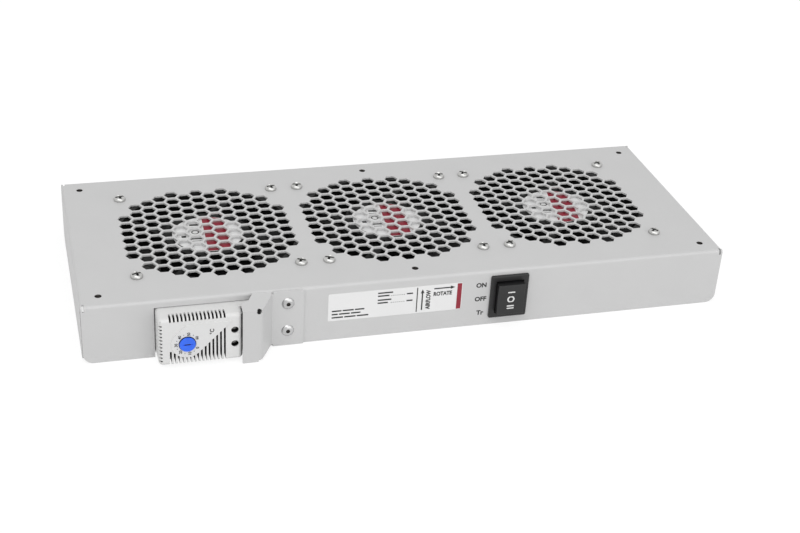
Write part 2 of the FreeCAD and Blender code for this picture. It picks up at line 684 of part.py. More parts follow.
def fan_nut(x, y):
    """Hexagon nut in its slot, two flats along the slot's walls."""
    under = FAN_TOP - NUT_DOWN - NUT_H
    points = [V(x, y, under) + polar(NUT_FLATS / math.sqrt(3.0), 60 * k + 30) for k in range(6)]
    nut = face_of(points).extrude(V(0, 0, NUT_H))
    return nut.cut(Part.makeCylinder(SCREW_R, NUT_H, V(x, y, under)))


# ---------------------------------------------------------------- thermostat
def stat_block(inset):
    """Stepped block of the thermostat, shrunk by the inset on all sides but the back."""
    x0 = STAT_X0 + inset
    x1 = STAT_X1 - inset
    step_x = STAT_STEP_X - inset
    y0 = STAT_FRONT_Y + inset
    step_y = STAT_FRONT_Y + STAT_STEP_BACK + inset
    outline = [V(x0, y0, 0), V(step_x, y0, 0), V(step_x, step_y, 0), V(x1, step_y, 0),
               V(x1, STAT_BACK_Y, 0), V(x0, STAT_BACK_Y, 0)]
    block = face_of(outline).extrude(V(0, 0, STAT_H - 2.0 * inset))
    block.translate(V(0, 0, STAT_BOTTOM + inset))
    return block


def thermostat_housing():
    """Slotted front shell with rounded edges, the raised scale band and the wiring step."""
    shell = stat_block(0.0)
    ends = edges_where(shell, lambda p: near(p.y, STAT_FRONT_Y) and near(p.z, STAT_MID_Z))
    shell = shell.makeFillet(STAT_END_R, ends)
    rims = edges_where(shell, lambda p: near(abs(p.z - STAT_MID_Z), STAT_H / 2.0)
                       and (near(p.x, STAT_X0) or p.y < STAT_FRONT_Y + STAT_END_R and p.x < STAT_STEP_X))
    shell = shell.makeFillet(STAT_EDGE_R, rims)
    shell = shell.fuse(scale_band()).cut(stat_block(STAT_WALL))
    cuts = stat_slots() + stat_side_slots() + stat_round_holes()
    return shell.cut(cuts).removeSplitter()


def scale_band():
    """Raised ring round the dial that runs on as a diagonal band to the top right."""
    y0 = STAT_FRONT_Y - STAT_BAND_H
    run = STAT_W
    disc = Part.makeCylinder(STAT_BAND_R, STAT_BAND_H + STAT_WALL / 2.0, V(DIAL_X, y0, DIAL_Z), Y_AXIS)
    strip = box(0, run, y0, STAT_FRONT_Y + STAT_WALL / 2.0, -STAT_BAND_R, STAT_BAND_R)
    strip.rotate(V(0, 0, 0), Y_AXIS, -45)
    strip.translate(V(DIAL_X, 0, DIAL_Z))
    edge = STAT_EDGE_R
    keep = box(STAT_X0 + edge, STAT_STEP_X - edge, y0, STAT_FRONT_Y + STAT_WALL,
               STAT_BOTTOM + edge, STAT_TOP - edge - STAT_TOP_SLOT_DOWN)
    return disc.fuse(strip).common(keep)


def slot_xs():
    return [STAT_X0 + STAT_SLOT_IN + k * STAT_SLOT_PITCH for k in range(STAT_SLOTS)]


def band_edge_z(x):
    """Lower edge of the scale band at x, where the lower slots end."""
    margin = STAT_BAND_R + STAT_SLOT_W / 4.0
    dx = x - DIAL_X
    turn = margin * math.sqrt(0.5)
    if abs(dx) >= margin and dx < 0:
        return DIAL_Z - margin / 2.0
    if dx > turn:
        return DIAL_Z - margin * math.sqrt(2.0) + dx
    return DIAL_Z - math.sqrt(margin ** 2 - dx ** 2)


def stat_slots():
    """Upright slots that wrap over the top edge, and those that wrap under the bottom edge."""
    cuts = []
    y0 = STAT_FRONT_Y - SHEET
    y1 = STAT_FRONT_Y + STAT_SLOT_BACK
    half = STAT_SLOT_W / 2.0
    highest = TERMINAL_ZS[0] + TERMINAL_HOLE_R
    for x in slot_xs():
        cuts.append(box(x - half, x + half, y0, y1, STAT_TOP - STAT_TOP_SLOT_DOWN, STAT_TOP + SHEET))
        top = min(band_edge_z(x), highest)
        cuts.append(box(x - half, x + half, y0, y1, STAT_BOTTOM - SHEET, top))
    return cuts


def stat_side_slots():
    """Short slots across the rounded left-hand edge."""
    cuts = []
    x0 = STAT_X0 - SHEET
    x1 = STAT_X0 + STAT_SIDE_SLOT_RUN
    y0 = STAT_FRONT_Y - SHEET
    y1 = STAT_FRONT_Y + STAT_SIDE_SLOT_RUN
    for k in range(STAT_SIDE_SLOTS):
        z = STAT_TOP - STAT_SIDE_SLOT_DOWN - k * STAT_SIDE_SLOT_PITCH
        cuts.append(box(x0, x1, y0, y1, z - STAT_SIDE_SLOT_W / 2.0, z + STAT_SIDE_SLOT_W / 2.0))
    return cuts


def stat_round_holes():
    """Bore for the dial's shaft and the two terminal screw holes."""
    depth = STAT_WALL + 2.0 * SHEET
    y0 = STAT_FRONT_Y - SHEET
    cuts = [Part.makeCylinder(DIAL_SHAFT_R + DIAL_FIT, depth, V(DIAL_X, y0, DIAL_Z), Y_AXIS)]
    for z in TERMINAL_ZS:
        cuts.append(Part.makeCylinder(TERMINAL_HOLE_R, depth, V(TERMINAL_X, y0, z), Y_AXIS))
    return cuts


def dial_face_y():
    return STAT_FRONT_Y - STAT_BAND_H - DIAL_GAP


def thermostat_dial():
    """Slotted setting dial with its shaft, which runs in the housing's bore."""
    back = dial_face_y()
    face = back - DIAL_PROUD
    disc = Part.makeCylinder(DIAL_R, DIAL_PROUD, V(DIAL_X, face, DIAL_Z), Y_AXIS)
    rim = edges_where(disc, lambda p: near(p.y, face))
    disc = disc.makeChamfer(DIAL_EDGE, rim)
    shaft = Part.makeCylinder(DIAL_SHAFT_R, BLOCK_FRONT_Y - SEAT_GAP - back, V(DIAL_X, back, DIAL_Z), Y_AXIS)
    slot = box(DIAL_X - DIAL_SLOT_L / 2.0, DIAL_X + DIAL_SLOT_L / 2.0, face, face + DIAL_SLOT_DEPTH,
               DIAL_Z - DIAL_SLOT_W / 2.0, DIAL_Z + DIAL_SLOT_W / 2.0)
    return disc.fuse(shaft).cut(slot)


def switch_block():
    """Contact block inside, seated on the base, with the terminal screws in its front."""
    x0 = STAT_X0 + 2.0 * STAT_WALL
    x1 = TERMINAL_X + TERMINAL_HOLE_R
    half = BLOCK_H / 2.0
    block = box(x0, x1, BLOCK_FRONT_Y, STAT_BACK_Y, STAT_MID_Z - half, STAT_MID_Z + half)
    towers = [Part.makeCylinder(TERMINAL_SCREW_R + TERMINAL_WALL, TERMINAL_SCREW_LEN / 2.0,
                                V(TERMINAL_X, BLOCK_FRONT_Y - TERMINAL_SCREW_LEN / 2.0, z), Y_AXIS)
              for z in TERMINAL_ZS]
    bores = [Part.makeCylinder(TERMINAL_SCREW_R, TERMINAL_SCREW_LEN,
                               V(TERMINAL_X, BLOCK_FRONT_Y - TERMINAL_SCREW_LEN / 2.0, z), Y_AXIS)
             for z in TERMINAL_ZS]
    return block.multiFuse(towers).cut(bores).removeSplitter()


def terminal_screws():
    screws = []
    y0 = STAT_FRONT_Y + TERMINAL_SCREW_DOWN
    for z in TERMINAL_ZS:
        screw = Part.makeCylinder(TERMINAL_SCREW_R, TERMINAL_SCREW_LEN + TERMINAL_SCREW_LEN / 2.0,
                                  V(TERMINAL_X, y0, z), Y_AXIS)
        slot = box(TERMINAL_X - TERMINAL_SCREW_R, TERMINAL_X + TERMINAL_SCREW_R, y0,
                   y0 + DIAL_SLOT_DEPTH, z - DIAL_SLOT_W / 2.0, z + DIAL_SLOT_W / 2.0)
        screws.append(screw.cut(slot))
    return screws


def bimetal_strip():
    """Curved sensing strip that stands on the contact block, behind the lower slots."""
    x0 = DIAL_X + DIAL_SHAFT_R + BIMETAL_INS[0]
    x1 = TERMINAL_X - TERMINAL_SCREW_R - BIMETAL_INS[1]
    y = BLOCK_FRONT_Y
    rise = BIMETAL_RISE
    mid = (x0 + x1) / 2.0
    wire = Part.Wire([
        arc(V(x0, y, 0), V(mid, y - rise, 0), V(x1, y, 0)),
        Part.makeLine(V(x1, y, 0), V(x1 - BIMETAL_T, y, 0)),
        arc(V(x1 - BIMETAL_T, y, 0), V(mid, y - rise + BIMETAL_T, 0), V(x0 + BIMETAL_T, y, 0)),
        Part.makeLine(V(x0 + BIMETAL_T, y, 0), V(x0, y, 0)),
    ])
    strip = Part.Face(wire).extrude(V(0, 0, BLOCK_H / 2.0))
    strip.translate(V(0, 0, STAT_MID_Z - BLOCK_H / 4.0))
    return strip


def thermostat_base():
    """Rear moulding that closes the shell and hooks round both edges of the rail plate."""
    half = RAIL_W / 2.0
    mid_x = (STAT_X0 + STAT_X1) / 2.0
    base = box(STAT_X0, STAT_X1, STAT_BACK_Y, RAIL_Y, STAT_BOTTOM, STAT_TOP)
    hooks = []
    for s in (-1, 1):
        outline = [V(mid_x + s * (half + SEAT_GAP), RAIL_Y, 0),
                   V(mid_x + s * (half + SEAT_GAP + HOOK_T), RAIL_Y, 0),
                   V(mid_x + s * (half + SEAT_GAP + HOOK_T), RAIL_Y + RAIL_T + SEAT_GAP + HOOK_T, 0),
                   V(mid_x + s * (half - HOOK_T), RAIL_Y + RAIL_T + SEAT_GAP + HOOK_T / 2.0, 0),
                   V(mid_x + s * (half - HOOK_T), RAIL_Y + RAIL_T + SEAT_GAP, 0),
                   V(mid_x + s * (half + SEAT_GAP), RAIL_Y + RAIL_T + SEAT_GAP, 0)]
        hook = face_of(outline).extrude(V(0, 0, HOOK_H))
        hook.translate(V(0, 0, STAT_MID_Z - HOOK_H / 2.0))
        hooks.append(hook)
    return base.multiFuse(hooks).removeSplitter()


def rail_plate():
    """Angle welded under the top panel; its leg is the plate that the thermostat hooks on."""
    mid_x = (STAT_X0 + STAT_X1) / 2.0
    half = RAIL_W / 2.0
    y1 = RAIL_Y + RAIL_T
    top = -SHEET
    inner = BEND_R - RAIL_T
    c = V(mid_x - half, y1 - BEND_R, top - BEND_R)
    s = math.sqrt(0.5)
    wire = Part.Wire([
        Part.makeLine(V(c.x, y1 - RAIL_FLANGE, top), c + V(0, 0, BEND_R)),
        arc(c + V(0, 0, BEND_R), c + V(0, s * BEND_R, s * BEND_R), c + V(0, BEND_R, 0)),
        Part.makeLine(c + V(0, BEND_R, 0), V(c.x, y1, STAT_BOTTOM)),
        Part.makeLine(V(c.x, y1, STAT_BOTTOM), V(c.x, RAIL_Y, STAT_BOTTOM)),
        Part.makeLine(V(c.x, RAIL_Y, STAT_BOTTOM), c + V(0, inner, 0)),
        arc(c + V(0, inner, 0), c + V(0, s * inner, s * inner), c + V(0, 0, inner)),
        Part.makeLine(c + V(0, 0, inner), V(c.x, y1 - RAIL_FLANGE, top - RAIL_T)),
        Part.makeLine(V(c.x, y1 - RAIL_FLANGE, top - RAIL_T), V(c.x, y1 - RAIL_FLANGE, top)),
    ])
    return Part.Face(wire).extrude(V(RAIL_W, 0, 0))


# ---------------------------------------------------------------- hood
def hood_plan(inset):
    """Plan outline of the hood's hollow form, shrunk by the inset at its front and its side."""
    side = V(HOOD_FLANGE_X0 - HOOD_X1, HOOD_FLANGE_Y - HOOD_Y, 0)
    lean = side.x / side.y
    shift = inset * side.Length / side.y
    x_left = HOOD_X0 - inset
    y_front = HOOD_Y + inset
    y_back = FRONT_Y + inset
    return [V(x_left, y_front, 0),
            V(HOOD_X1 + lean * (y_front - HOOD_Y) - shift, y_front, 0),
            V(HOOD_X1 + lean * (y_back - HOOD_Y) - shift, y_back, 0),
            V(x_left, y_back, 0)]


def below_plane(point, slope_x, slope_y, inset):
    """Room below a sloping plane through a point, lowered by the inset square to the plane."""
    drop = inset * math.sqrt(1.0 + slope_x ** 2 + slope_y ** 2)
    corners = []
    for x, y in ((HOOD_X0 - 5.0, HOOD_Y - 5.0), (HOOD_FLANGE_X1, HOOD_Y - 5.0),
                 (HOOD_FLANGE_X1, FRONT_Y + 5.0), (HOOD_X0 - 5.0, FRONT_Y + 5.0)):
        z = point.z + slope_x * (x - point.x) + slope_y * (y - point.y) - drop
        corners.append(V(x, y, z))
    return face_of(corners).extrude(V(0, 0, -2.0 * TRAY_H))


def hood_form(inset):
    """Solid form under the lid's two facets, with its side bend, shrunk by the inset."""
    vertex = V(HOOD_X1, HOOD_Y, -HOOD_TOP_DOWN - HOOD_LID_DROP)
    lid_x = sum(run[0] for run in HOOD_LID_RUNS) + HOOD_X0
    tilt = -HOOD_LID_TWIST / (HOOD_FLANGE_X0 - lid_x)
    rise = (HOOD_LID_DROP - HOOD_LID_TWIST - tilt * HOOD_SIDE_RUN) / (HOOD_FLANGE_Y - HOOD_Y)
    form = face_of(hood_plan(inset)).extrude(V(0, 0, TRAY_H + inset))
    form.translate(V(0, 0, -TRAY_H - inset))
    form = form.common(below_plane(vertex, 0.0, HOOD_FRONT_SLOPE, inset))
    form = form.common(below_plane(vertex, tilt, rise, inset))
    side_bend = edges_where(form, lambda p: p.x > (HOOD_X0 + HOOD_X1) / 2.0 and near(p.y, HOOD_Y + inset)
                            and abs(p.z + TRAY_H / 2.0) < TRAY_H / 4.0)
    return form.makeFillet(HOOD_SIDE_BEND_R - inset, side_bend)


def hood_cutters():
    """Cuts that leave the lid's free edge, the vertex hole, the bend notches and the raised foot."""
    x = HOOD_X0
    y = HOOD_Y + HOOD_LID_STRAIGHT
    edge = [V(x - 2.0 * SHEET, y, -TRAY_H / 2.0), V(x, y, -TRAY_H / 2.0)]
    for run_x, run_y in HOOD_LID_RUNS:
        x += run_x
        y += run_y
        edge.append(V(x, y, -TRAY_H / 2.0))
    edge.append(V(x, FRONT_Y + SHEET, -TRAY_H / 2.0))
    edge.append(V(HOOD_X0 - 2.0 * SHEET, FRONT_Y + SHEET, -TRAY_H / 2.0))
    lid_edge = face_of(edge).extrude(V(0, 0, TRAY_H))
    vertex = Part.makeCylinder(HOOD_VERTEX_R, 6.0 * SHEET,
                               V(HOOD_X1 - HOOD_VERTEX_IN, HOOD_Y - SHEET, -HOOD_TOP_DOWN - HOOD_LID_DROP),
                               V(*HOOD_VERTEX_AIM))
    notches = [box(HOOD_FLANGE_X0 - HOOD_NOTCH_W + SHEET / 2.0, HOOD_FLANGE_X0 + SHEET / 2.0,
                   HOOD_FLANGE_Y - 2.0 * SHEET, FRONT_Y + SHEET, z - HOOD_NOTCH_H, z + HOOD_NOTCH_H)
               for z in (-HOOD_TOP_DOWN, -TRAY_H)]
    low = -TRAY_H - SHEET
    foot = face_of([V(HOOD_X1 - HOOD_SIDE_BEND_R / 2.0, HOOD_Y - SHEET, -TRAY_H + HOOD_FOOT_UP),
                    V(HOOD_X1 - HOOD_SIDE_BEND_R / 2.0, FRONT_Y + SHEET, -TRAY_H + HOOD_FOOT_UP + HOOD_FOOT_RISE),
                    V(HOOD_X1 - HOOD_SIDE_BEND_R / 2.0, FRONT_Y + SHEET, low),
                    V(HOOD_X1 - HOOD_SIDE_BEND_R / 2.0, HOOD_Y - SHEET, low)])
    foot = foot.extrude(V(HOOD_FLANGE_X0 - HOOD_X1 + HOOD_SIDE_BEND_R / 2.0, 0, 0))
    rivet_holes = [Part.makeCylinder(RIVET_R, 4.0 * SHEET, V(RIVET_X, HOOD_FLANGE_Y - SHEET, z), Y_AXIS)
                   for z in RIVET_ZS]
    return [lid_edge, vertex, foot] + notches + rivet_holes


def thermostat_hood():
    """Folded cover: riveted flange, slanting side, front and a lid in two facets, in one sheet."""
    shell = hood_form(0.0).cut(hood_form(SHEET))
    plate = box(HOOD_FLANGE_X0, HOOD_FLANGE_X1, HOOD_FLANGE_Y, FRONT_Y, -TRAY_H, -HOOD_TOP_DOWN)
    corner = edges_where(plate, lambda p: near(p.x, HOOD_FLANGE_X1) and near(p.z, -HOOD_TOP_DOWN))
    plate = plate.makeFillet(HOOD_CORNER_R, corner)
    return shell.fuse(plate).cut(hood_cutters()).removeSplitter()


def hood_rivets():
    """Blind rivets turned about their axes: domed head, stem and set tail, with the mandrel's bore."""
    tail_r = RIVET_R * RIVET_TAIL_SPREAD
    crown_r = RIVET_HEAD_R - RIVET_HEAD_H
    y_tail = FRONT_Y + SHEET
    bore_end = HOOD_FLANGE_Y + SHEET
    profile = face_of([
        V(0, bore_end, 0), V(RIVET_BORE_R, bore_end, 0), V(RIVET_BORE_R, HOOD_FLANGE_Y - RIVET_HEAD_H, 0),
        V(crown_r, HOOD_FLANGE_Y - RIVET_HEAD_H, 0), V(RIVET_HEAD_R, HOOD_FLANGE_Y, 0),
        V(RIVET_R, HOOD_FLANGE_Y, 0), V(RIVET_R, y_tail, 0), V(tail_r, y_tail, 0),
        V(tail_r, y_tail + RIVET_TAIL_H, 0), V(0, y_tail + RIVET_TAIL_H, 0)])
    rivets = []
    for z in RIVET_ZS:
        rivet = profile.revolve(V(0, 0, 0), Y_AXIS, 360)
        rivet.translate(V(RIVET_X, 0, z))
        rivets.append(rivet)
    return rivets


# ---------------------------------------------------------------- rocker switch
def switch_housing():
    """Bezel and body with the well that the rocker turns in."""
    bezel = rounded_plate(SWITCH_X - BEZEL_W / 2.0, SWITCH_X + BEZEL_W / 2.0,
                          SWITCH_Z - BEZEL_H / 2.0, SWITCH_Z + BEZEL_H / 2.0,
                          SWITCH_FACE_Y, BEZEL_R, BEZEL_T)
    rim = edges_where(bezel, lambda p: near(p.y, SWITCH_FACE_Y))
    bezel = bezel.makeChamfer(BEZEL_EDGE, rim)
    body = box(SWITCH_X - SWITCH_BODY_W / 2.0, SWITCH_X + SWITCH_BODY_W / 2.0, FRONT_Y, SWITCH_BACK_Y,
               SWITCH_Z - SWITCH_BODY_H / 2.0, SWITCH_Z + SWITCH_BODY_H / 2.0)
    well = box(SWITCH_X - OPENING_W / 2.0, SWITCH_X + OPENING_W / 2.0, SWITCH_FACE_Y, SWITCH_BACK_Y - SWITCH_WALL,
               SWITCH_Z - OPENING_H / 2.0, SWITCH_Z + OPENING_H / 2.0)
    reach = OPENING_W / 2.0 - ROCKER_SIDE_GAP + ROCKER_PIN_LEN + ROCKER_SIDE_GAP / 2.0
    pin_bore = Part.makeCylinder(ROCKER_PIN_R + ROCKER_PIN_FIT, 2.0 * reach,
                                 V(SWITCH_X - reach, PIVOT_Y, SWITCH_Z), X_AXIS)
    return bezel.fuse(body).cut([well, pin_bore]).removeSplitter()


def switch_rocker():
    """Rocker with a dished face, tapering to its pivot pins."""
    face_y = SWITCH_FACE_Y - ROCKER_PROUD
    half_w = OPENING_W / 2.0 - ROCKER_SIDE_GAP
    tilt = math.radians(ROCKER_TRAVEL)
    rim_y = PIVOT_Y - SWITCH_FACE_Y
    rim_z = OPENING_H / 2.0 - ROCKER_END_GAP
    half_h = rim_z * math.cos(tilt) - rim_y * math.sin(tilt)
    tail_y = PIVOT_Y + ROCKER_TAIL
    outline = Part.Wire([
        arc(V(0, face_y, half_h), V(0, face_y + ROCKER_DISH, 0), V(0, face_y, -half_h)),
        Part.makeLine(V(0, face_y, -half_h), V(0, FRONT_Y, -half_h)),
        Part.makeLine(V(0, FRONT_Y, -half_h), V(0, tail_y, -ROCKER_TAIL)),
        Part.makeLine(V(0, tail_y, -ROCKER_TAIL), V(0, tail_y, ROCKER_TAIL)),
        Part.makeLine(V(0, tail_y, ROCKER_TAIL), V(0, FRONT_Y, half_h)),
        Part.makeLine(V(0, FRONT_Y, half_h), V(0, face_y, half_h)),
    ])
    body = Part.Face(outline).extrude(V(2.0 * half_w, 0, 0))
    body.translate(V(SWITCH_X - half_w, 0, SWITCH_Z))
    reach = half_w + ROCKER_PIN_LEN
    pin = Part.makeCylinder(ROCKER_PIN_R, 2.0 * reach, V(SWITCH_X - reach, PIVOT_Y, SWITCH_Z), X_AXIS)
    return body.fuse(pin).removeSplitter()


def switch_tabs():
    tabs = []
    for k in (-1, 0, 1):
        z = SWITCH_Z + k * SWITCH_TAB_PITCH
        tabs.append(box(SWITCH_X - BLADE_TAB_W / 2.0, SWITCH_X + BLADE_TAB_W / 2.0, SWITCH_BACK_Y,
                        SWITCH_BACK_Y + BLADE_TAB_LEN, z - BLADE_TAB_T / 2.0, z + BLADE_TAB_T / 2.0))
    return tabs


def front_label():
    return rounded_plate(FRONT_LABEL_X - FRONT_LABEL_W / 2.0, FRONT_LABEL_X + FRONT_LABEL_W / 2.0,
                         -FRONT_LABEL_DOWN - FRONT_LABEL_H / 2.0, -FRONT_LABEL_DOWN + FRONT_LABEL_H / 2.0,
                         FRONT_Y - LABEL_T, FRONT_LABEL_R, LABEL_T)


# ---------------------------------------------------------------- wiring parts inside
def terminal_block():
    """Row of terminal poles on the inside of the right-hand flange."""
    x1 = TRAY_W / 2.0 - SHEET
    z = -TRAY_H / 2.0
    length = BLOCK_POLES * POLE_PITCH
    base = box(x1 - BLOCK_FIX_BITE, x1, -length / 2.0, length / 2.0, z - POLE_LEN / 2.0, z + POLE_LEN / 2.0)
    poles = []
    cuts = []
    for k in range(BLOCK_POLES):
        y = (k - (BLOCK_POLES - 1) / 2.0) * POLE_PITCH
        half = (POLE_PITCH - POLE_GAP) / 2.0
        poles.append(box(x1 - POLE_H, x1 - BLOCK_FIX_BITE, y - half, y + half,
                         z - POLE_LEN / 2.0, z + POLE_LEN / 2.0))
        for s in (-1, 1):
            cuts.append(Part.makeCylinder(POLE_SCREW_R, POLE_H / 2.0,
                                          V(x1 - POLE_H, y, z + s * POLE_LEN / 4.0), X_AXIS))
    cuts += [Part.makeCylinder(BLOCK_FIX_R, BLOCK_FIX_BITE, p - V(SHEET + BLOCK_FIX_BITE, 0, 0), X_AXIS)
             for p in block_fix_points()]
    return base.multiFuse(poles).cut(cuts).removeSplitter()


def block_screws():
    screws = []
    for p in block_fix_points():
        head = Part.makeCylinder(BLOCK_FIX_HEAD_R, BLOCK_FIX_HEAD_H, p, X_AXIS)
        rim = edges_where(head, lambda q: near(q.x, p.x + BLOCK_FIX_HEAD_H))
        head = head.makeChamfer(BLOCK_FIX_HEAD_EDGE, rim)
        length = SHEET + BLOCK_FIX_BITE
        shank = Part.makeCylinder(BLOCK_FIX_R, length, p - V(length, 0, 0), X_AXIS)
        screws.append(head.fuse(shank).removeSplitter())
    return screws


def cable_grommet():
    """Rubber ring in the back flange's cable inlet."""
    p = grommet_place()
    out = p.y + GROMMET_LIP_T
    back = p.y - SHEET - GROMMET_LIP_T
    profile = Part.makePolygon([
        V(GROMMET_BORE_R, back, 0), V(GROMMET_LIP_R, back, 0), V(GROMMET_LIP_R, p.y - SHEET, 0),
        V(GROMMET_HOLE_R, p.y - SHEET, 0), V(GROMMET_HOLE_R, p.y, 0), V(GROMMET_LIP_R, p.y, 0),
        V(GROMMET_LIP_R, out, 0), V(GROMMET_BORE_R, out, 0), V(GROMMET_BORE_R, back, 0)])
    ring = Part.Face(profile).revolve(V(0, 0, 0), Y_AXIS, 360)
    ring.translate(V(p.x, 0, p.z))
    return ring


# ---------------------------------------------------------------- build
def at_fan(shape, index, turn=0.0):
    """Copy of a shape made about the Z axis, set at one fan."""
    copy = shape.copy()
    copy.rotate(V(0, 0, 0), Z_AXIS, turn)
    copy.translate(V(FAN_XS[index], 0, 0))
    return copy


def main():
    os.makedirs("parts", exist_ok=True)
    save("tray_panel", [tray_panel()])
    frame = fan_frame()
    rotor = impeller()
    tabs = fan_tabs()
    all_tabs = []
    for i, name in enumerate(FAN_NAMES):
        turn = IMPELLER_TURN[i]
        save("fan_frame_" + name, [at_fan(frame, i)])
        save("impeller_" + name, [at_fan(rotor, i, turn)])
        save("rotor_ring_" + name, [at_fan(rotor_ring(), i)])
        save("rotor_shaft_" + name, [at_fan(rotor_shaft(), i)])
        save("stator_" + name, [at_fan(stator(), i)])
        save("bearings_" + name, [at_fan(ring, i) for ring in bearings()])
        save("fan_label_" + name, [at_fan(fan_label(), i)])
        all_tabs += [at_fan(tab, i) for tab in tabs]
    save("fan_terminals", all_tabs)
    save("fan_screws", [fan_screw(x, y) for x, y in fan_hole_centres()])
    save("fan_nuts", [fan_nut(x, y) for x, y in fan_hole_centres()])
    save("thermostat_housing", [thermostat_housing()])
    save("thermostat_base", [thermostat_base()])
    save("thermostat_dial", [thermostat_dial()])
    save("thermostat_switch_block", [switch_block()])
    save("thermostat_terminal_screws", terminal_screws())
    save("bimetal_strip", [bimetal_strip()])
    save("rail_plate", [rail_plate()])
    save("thermostat_hood", [thermostat_hood()])
    save("hood_rivets", hood_rivets())
    save("switch_housing", [switch_housing()])
    save("switch_rocker", [switch_rocker()])
    save("switch_terminals", switch_tabs())
    save("front_label", [front_label()])
    save("terminal_block", [terminal_block()])
    save("terminal_block_screws", block_screws())
    save("cable_grommet", [cable_grommet()])


main()
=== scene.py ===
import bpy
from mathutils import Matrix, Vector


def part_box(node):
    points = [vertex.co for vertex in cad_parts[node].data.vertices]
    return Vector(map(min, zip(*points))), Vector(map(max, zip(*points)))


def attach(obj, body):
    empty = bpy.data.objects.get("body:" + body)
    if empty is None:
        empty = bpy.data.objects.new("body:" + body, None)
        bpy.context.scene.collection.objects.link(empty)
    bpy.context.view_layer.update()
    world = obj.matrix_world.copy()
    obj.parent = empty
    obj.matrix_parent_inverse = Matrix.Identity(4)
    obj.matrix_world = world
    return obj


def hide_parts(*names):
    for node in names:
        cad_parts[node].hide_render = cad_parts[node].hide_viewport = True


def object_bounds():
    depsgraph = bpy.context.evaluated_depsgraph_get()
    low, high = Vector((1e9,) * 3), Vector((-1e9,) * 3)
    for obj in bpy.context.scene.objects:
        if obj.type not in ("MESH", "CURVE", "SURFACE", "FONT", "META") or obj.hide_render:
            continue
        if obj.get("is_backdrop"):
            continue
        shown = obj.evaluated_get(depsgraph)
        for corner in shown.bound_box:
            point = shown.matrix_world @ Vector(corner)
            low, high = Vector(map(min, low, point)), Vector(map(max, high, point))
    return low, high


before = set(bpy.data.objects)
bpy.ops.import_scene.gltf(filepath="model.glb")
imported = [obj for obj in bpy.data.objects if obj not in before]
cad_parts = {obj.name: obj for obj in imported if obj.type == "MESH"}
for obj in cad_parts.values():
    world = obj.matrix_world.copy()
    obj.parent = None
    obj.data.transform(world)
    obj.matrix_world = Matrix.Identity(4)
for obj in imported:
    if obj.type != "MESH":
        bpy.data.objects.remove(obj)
"""Finishes, printed marks, fasteners and studio for a rack fan tray, laid out as a Blender add-on."""
import math

import bmesh
import bpy
from bpy.props import (BoolProperty, FloatProperty, FloatVectorProperty, IntProperty,
                       PointerProperty, StringProperty)
from mathutils import Matrix, Vector

bl_info = {
    "name": "Rack fan tray dressing",
    "version": (1, 0, 0),
    "blender": (4, 5, 0),
    "location": "View3D > Sidebar > Fan tray",
    "description": "Dresses the fan tray with finishes, printed marks and fasteners, and sets its studio",
    "category": "Object",
}

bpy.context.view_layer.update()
MM = 0.001
ROUGH_SPAN = 0.08           # unevenness of a finish's roughness, each way
FANS = ("left", "middle", "right")

# Directions of printed marks: (baseline, glyph up) in the row frame.
UPRIGHT_FRONT = (Vector((1, 0, 0)), Vector((0, 0, 1)))
TURNED_FRONT = (Vector((0, 0, 1)), Vector((-1, 0, 0)))


# ---------------------------------------------------------------- settings
def colour(name, text, value):
    return FloatVectorProperty(name=name, description=text, default=value, size=3,
                               subtype="COLOR", min=0.0, max=1.0)


def length(name, text, value):
    return FloatProperty(name=name, description=text, default=value, unit="LENGTH",
                         subtype="DISTANCE", precision=5)


class TrayColours(bpy.types.PropertyGroup):
    """Colours of the tray's finishes."""
    paint: colour("Paint", "Powder coat of the folded sheet", (0.60, 0.60, 0.60))
    fan_black: colour("Fan black", "Moulded fan frames", (0.005, 0.005, 0.005))
    blade_black: colour("Blade black", "Moulded impellers", (0.006, 0.006, 0.006))
    shell: colour("Thermostat grey", "Thermostat's moulded shell", (0.74, 0.74, 0.735))
    dial: colour("Dial blue", "Thermostat's setting dial", (0.026, 0.145, 0.90))
    switch: colour("Switch black", "Rocker switch", (0.009, 0.009, 0.0095))
    bezel: colour("Bezel black", "Rim of the rocker switch", (0.006, 0.006, 0.0065))
    foil: colour("Label white", "Foil of the labels", (0.82, 0.82, 0.82))
    red: colour("Label red", "Red print on the labels", (0.27, 0.010, 0.028))
    ink: colour("Ink", "Black print", (0.012, 0.012, 0.012))
    switch_ink: colour("Switch marks", "Pale marks on the rocker", (0.75, 0.75, 0.75))
    zinc: colour("Zinc", "Plated screws and nuts", (0.50, 0.50, 0.49))
    rivet: colour("Rivet", "Aluminium rivet heads", (0.50, 0.50, 0.50))
    steel: colour("Steel", "Rotor rings, shafts and stators", (0.40, 0.40, 0.41))
    brass: colour("Brass", "Bearings", (0.72, 0.52, 0.26))
    # painted shade: near-black metal for the sensing strip, the rivets' mandrels and the fixing holes'
    # threads, standing in for the shade in slots, bores and holes
    painted_shade_tone: colour("Dark bronze", "Sensing strip and mandrels", (0.035, 0.032, 0.030))
    tin: colour("Tin", "Blade terminals", (0.66, 0.64, 0.58))
    rubber: colour("Rubber", "Cable grommet", (0.015, 0.015, 0.015))
    # the terminal block's own black, also used as painted shade inside the thermostat shell
    block: colour("Terminal block", "Moulded terminal and contact blocks", (0.03, 0.03, 0.03))


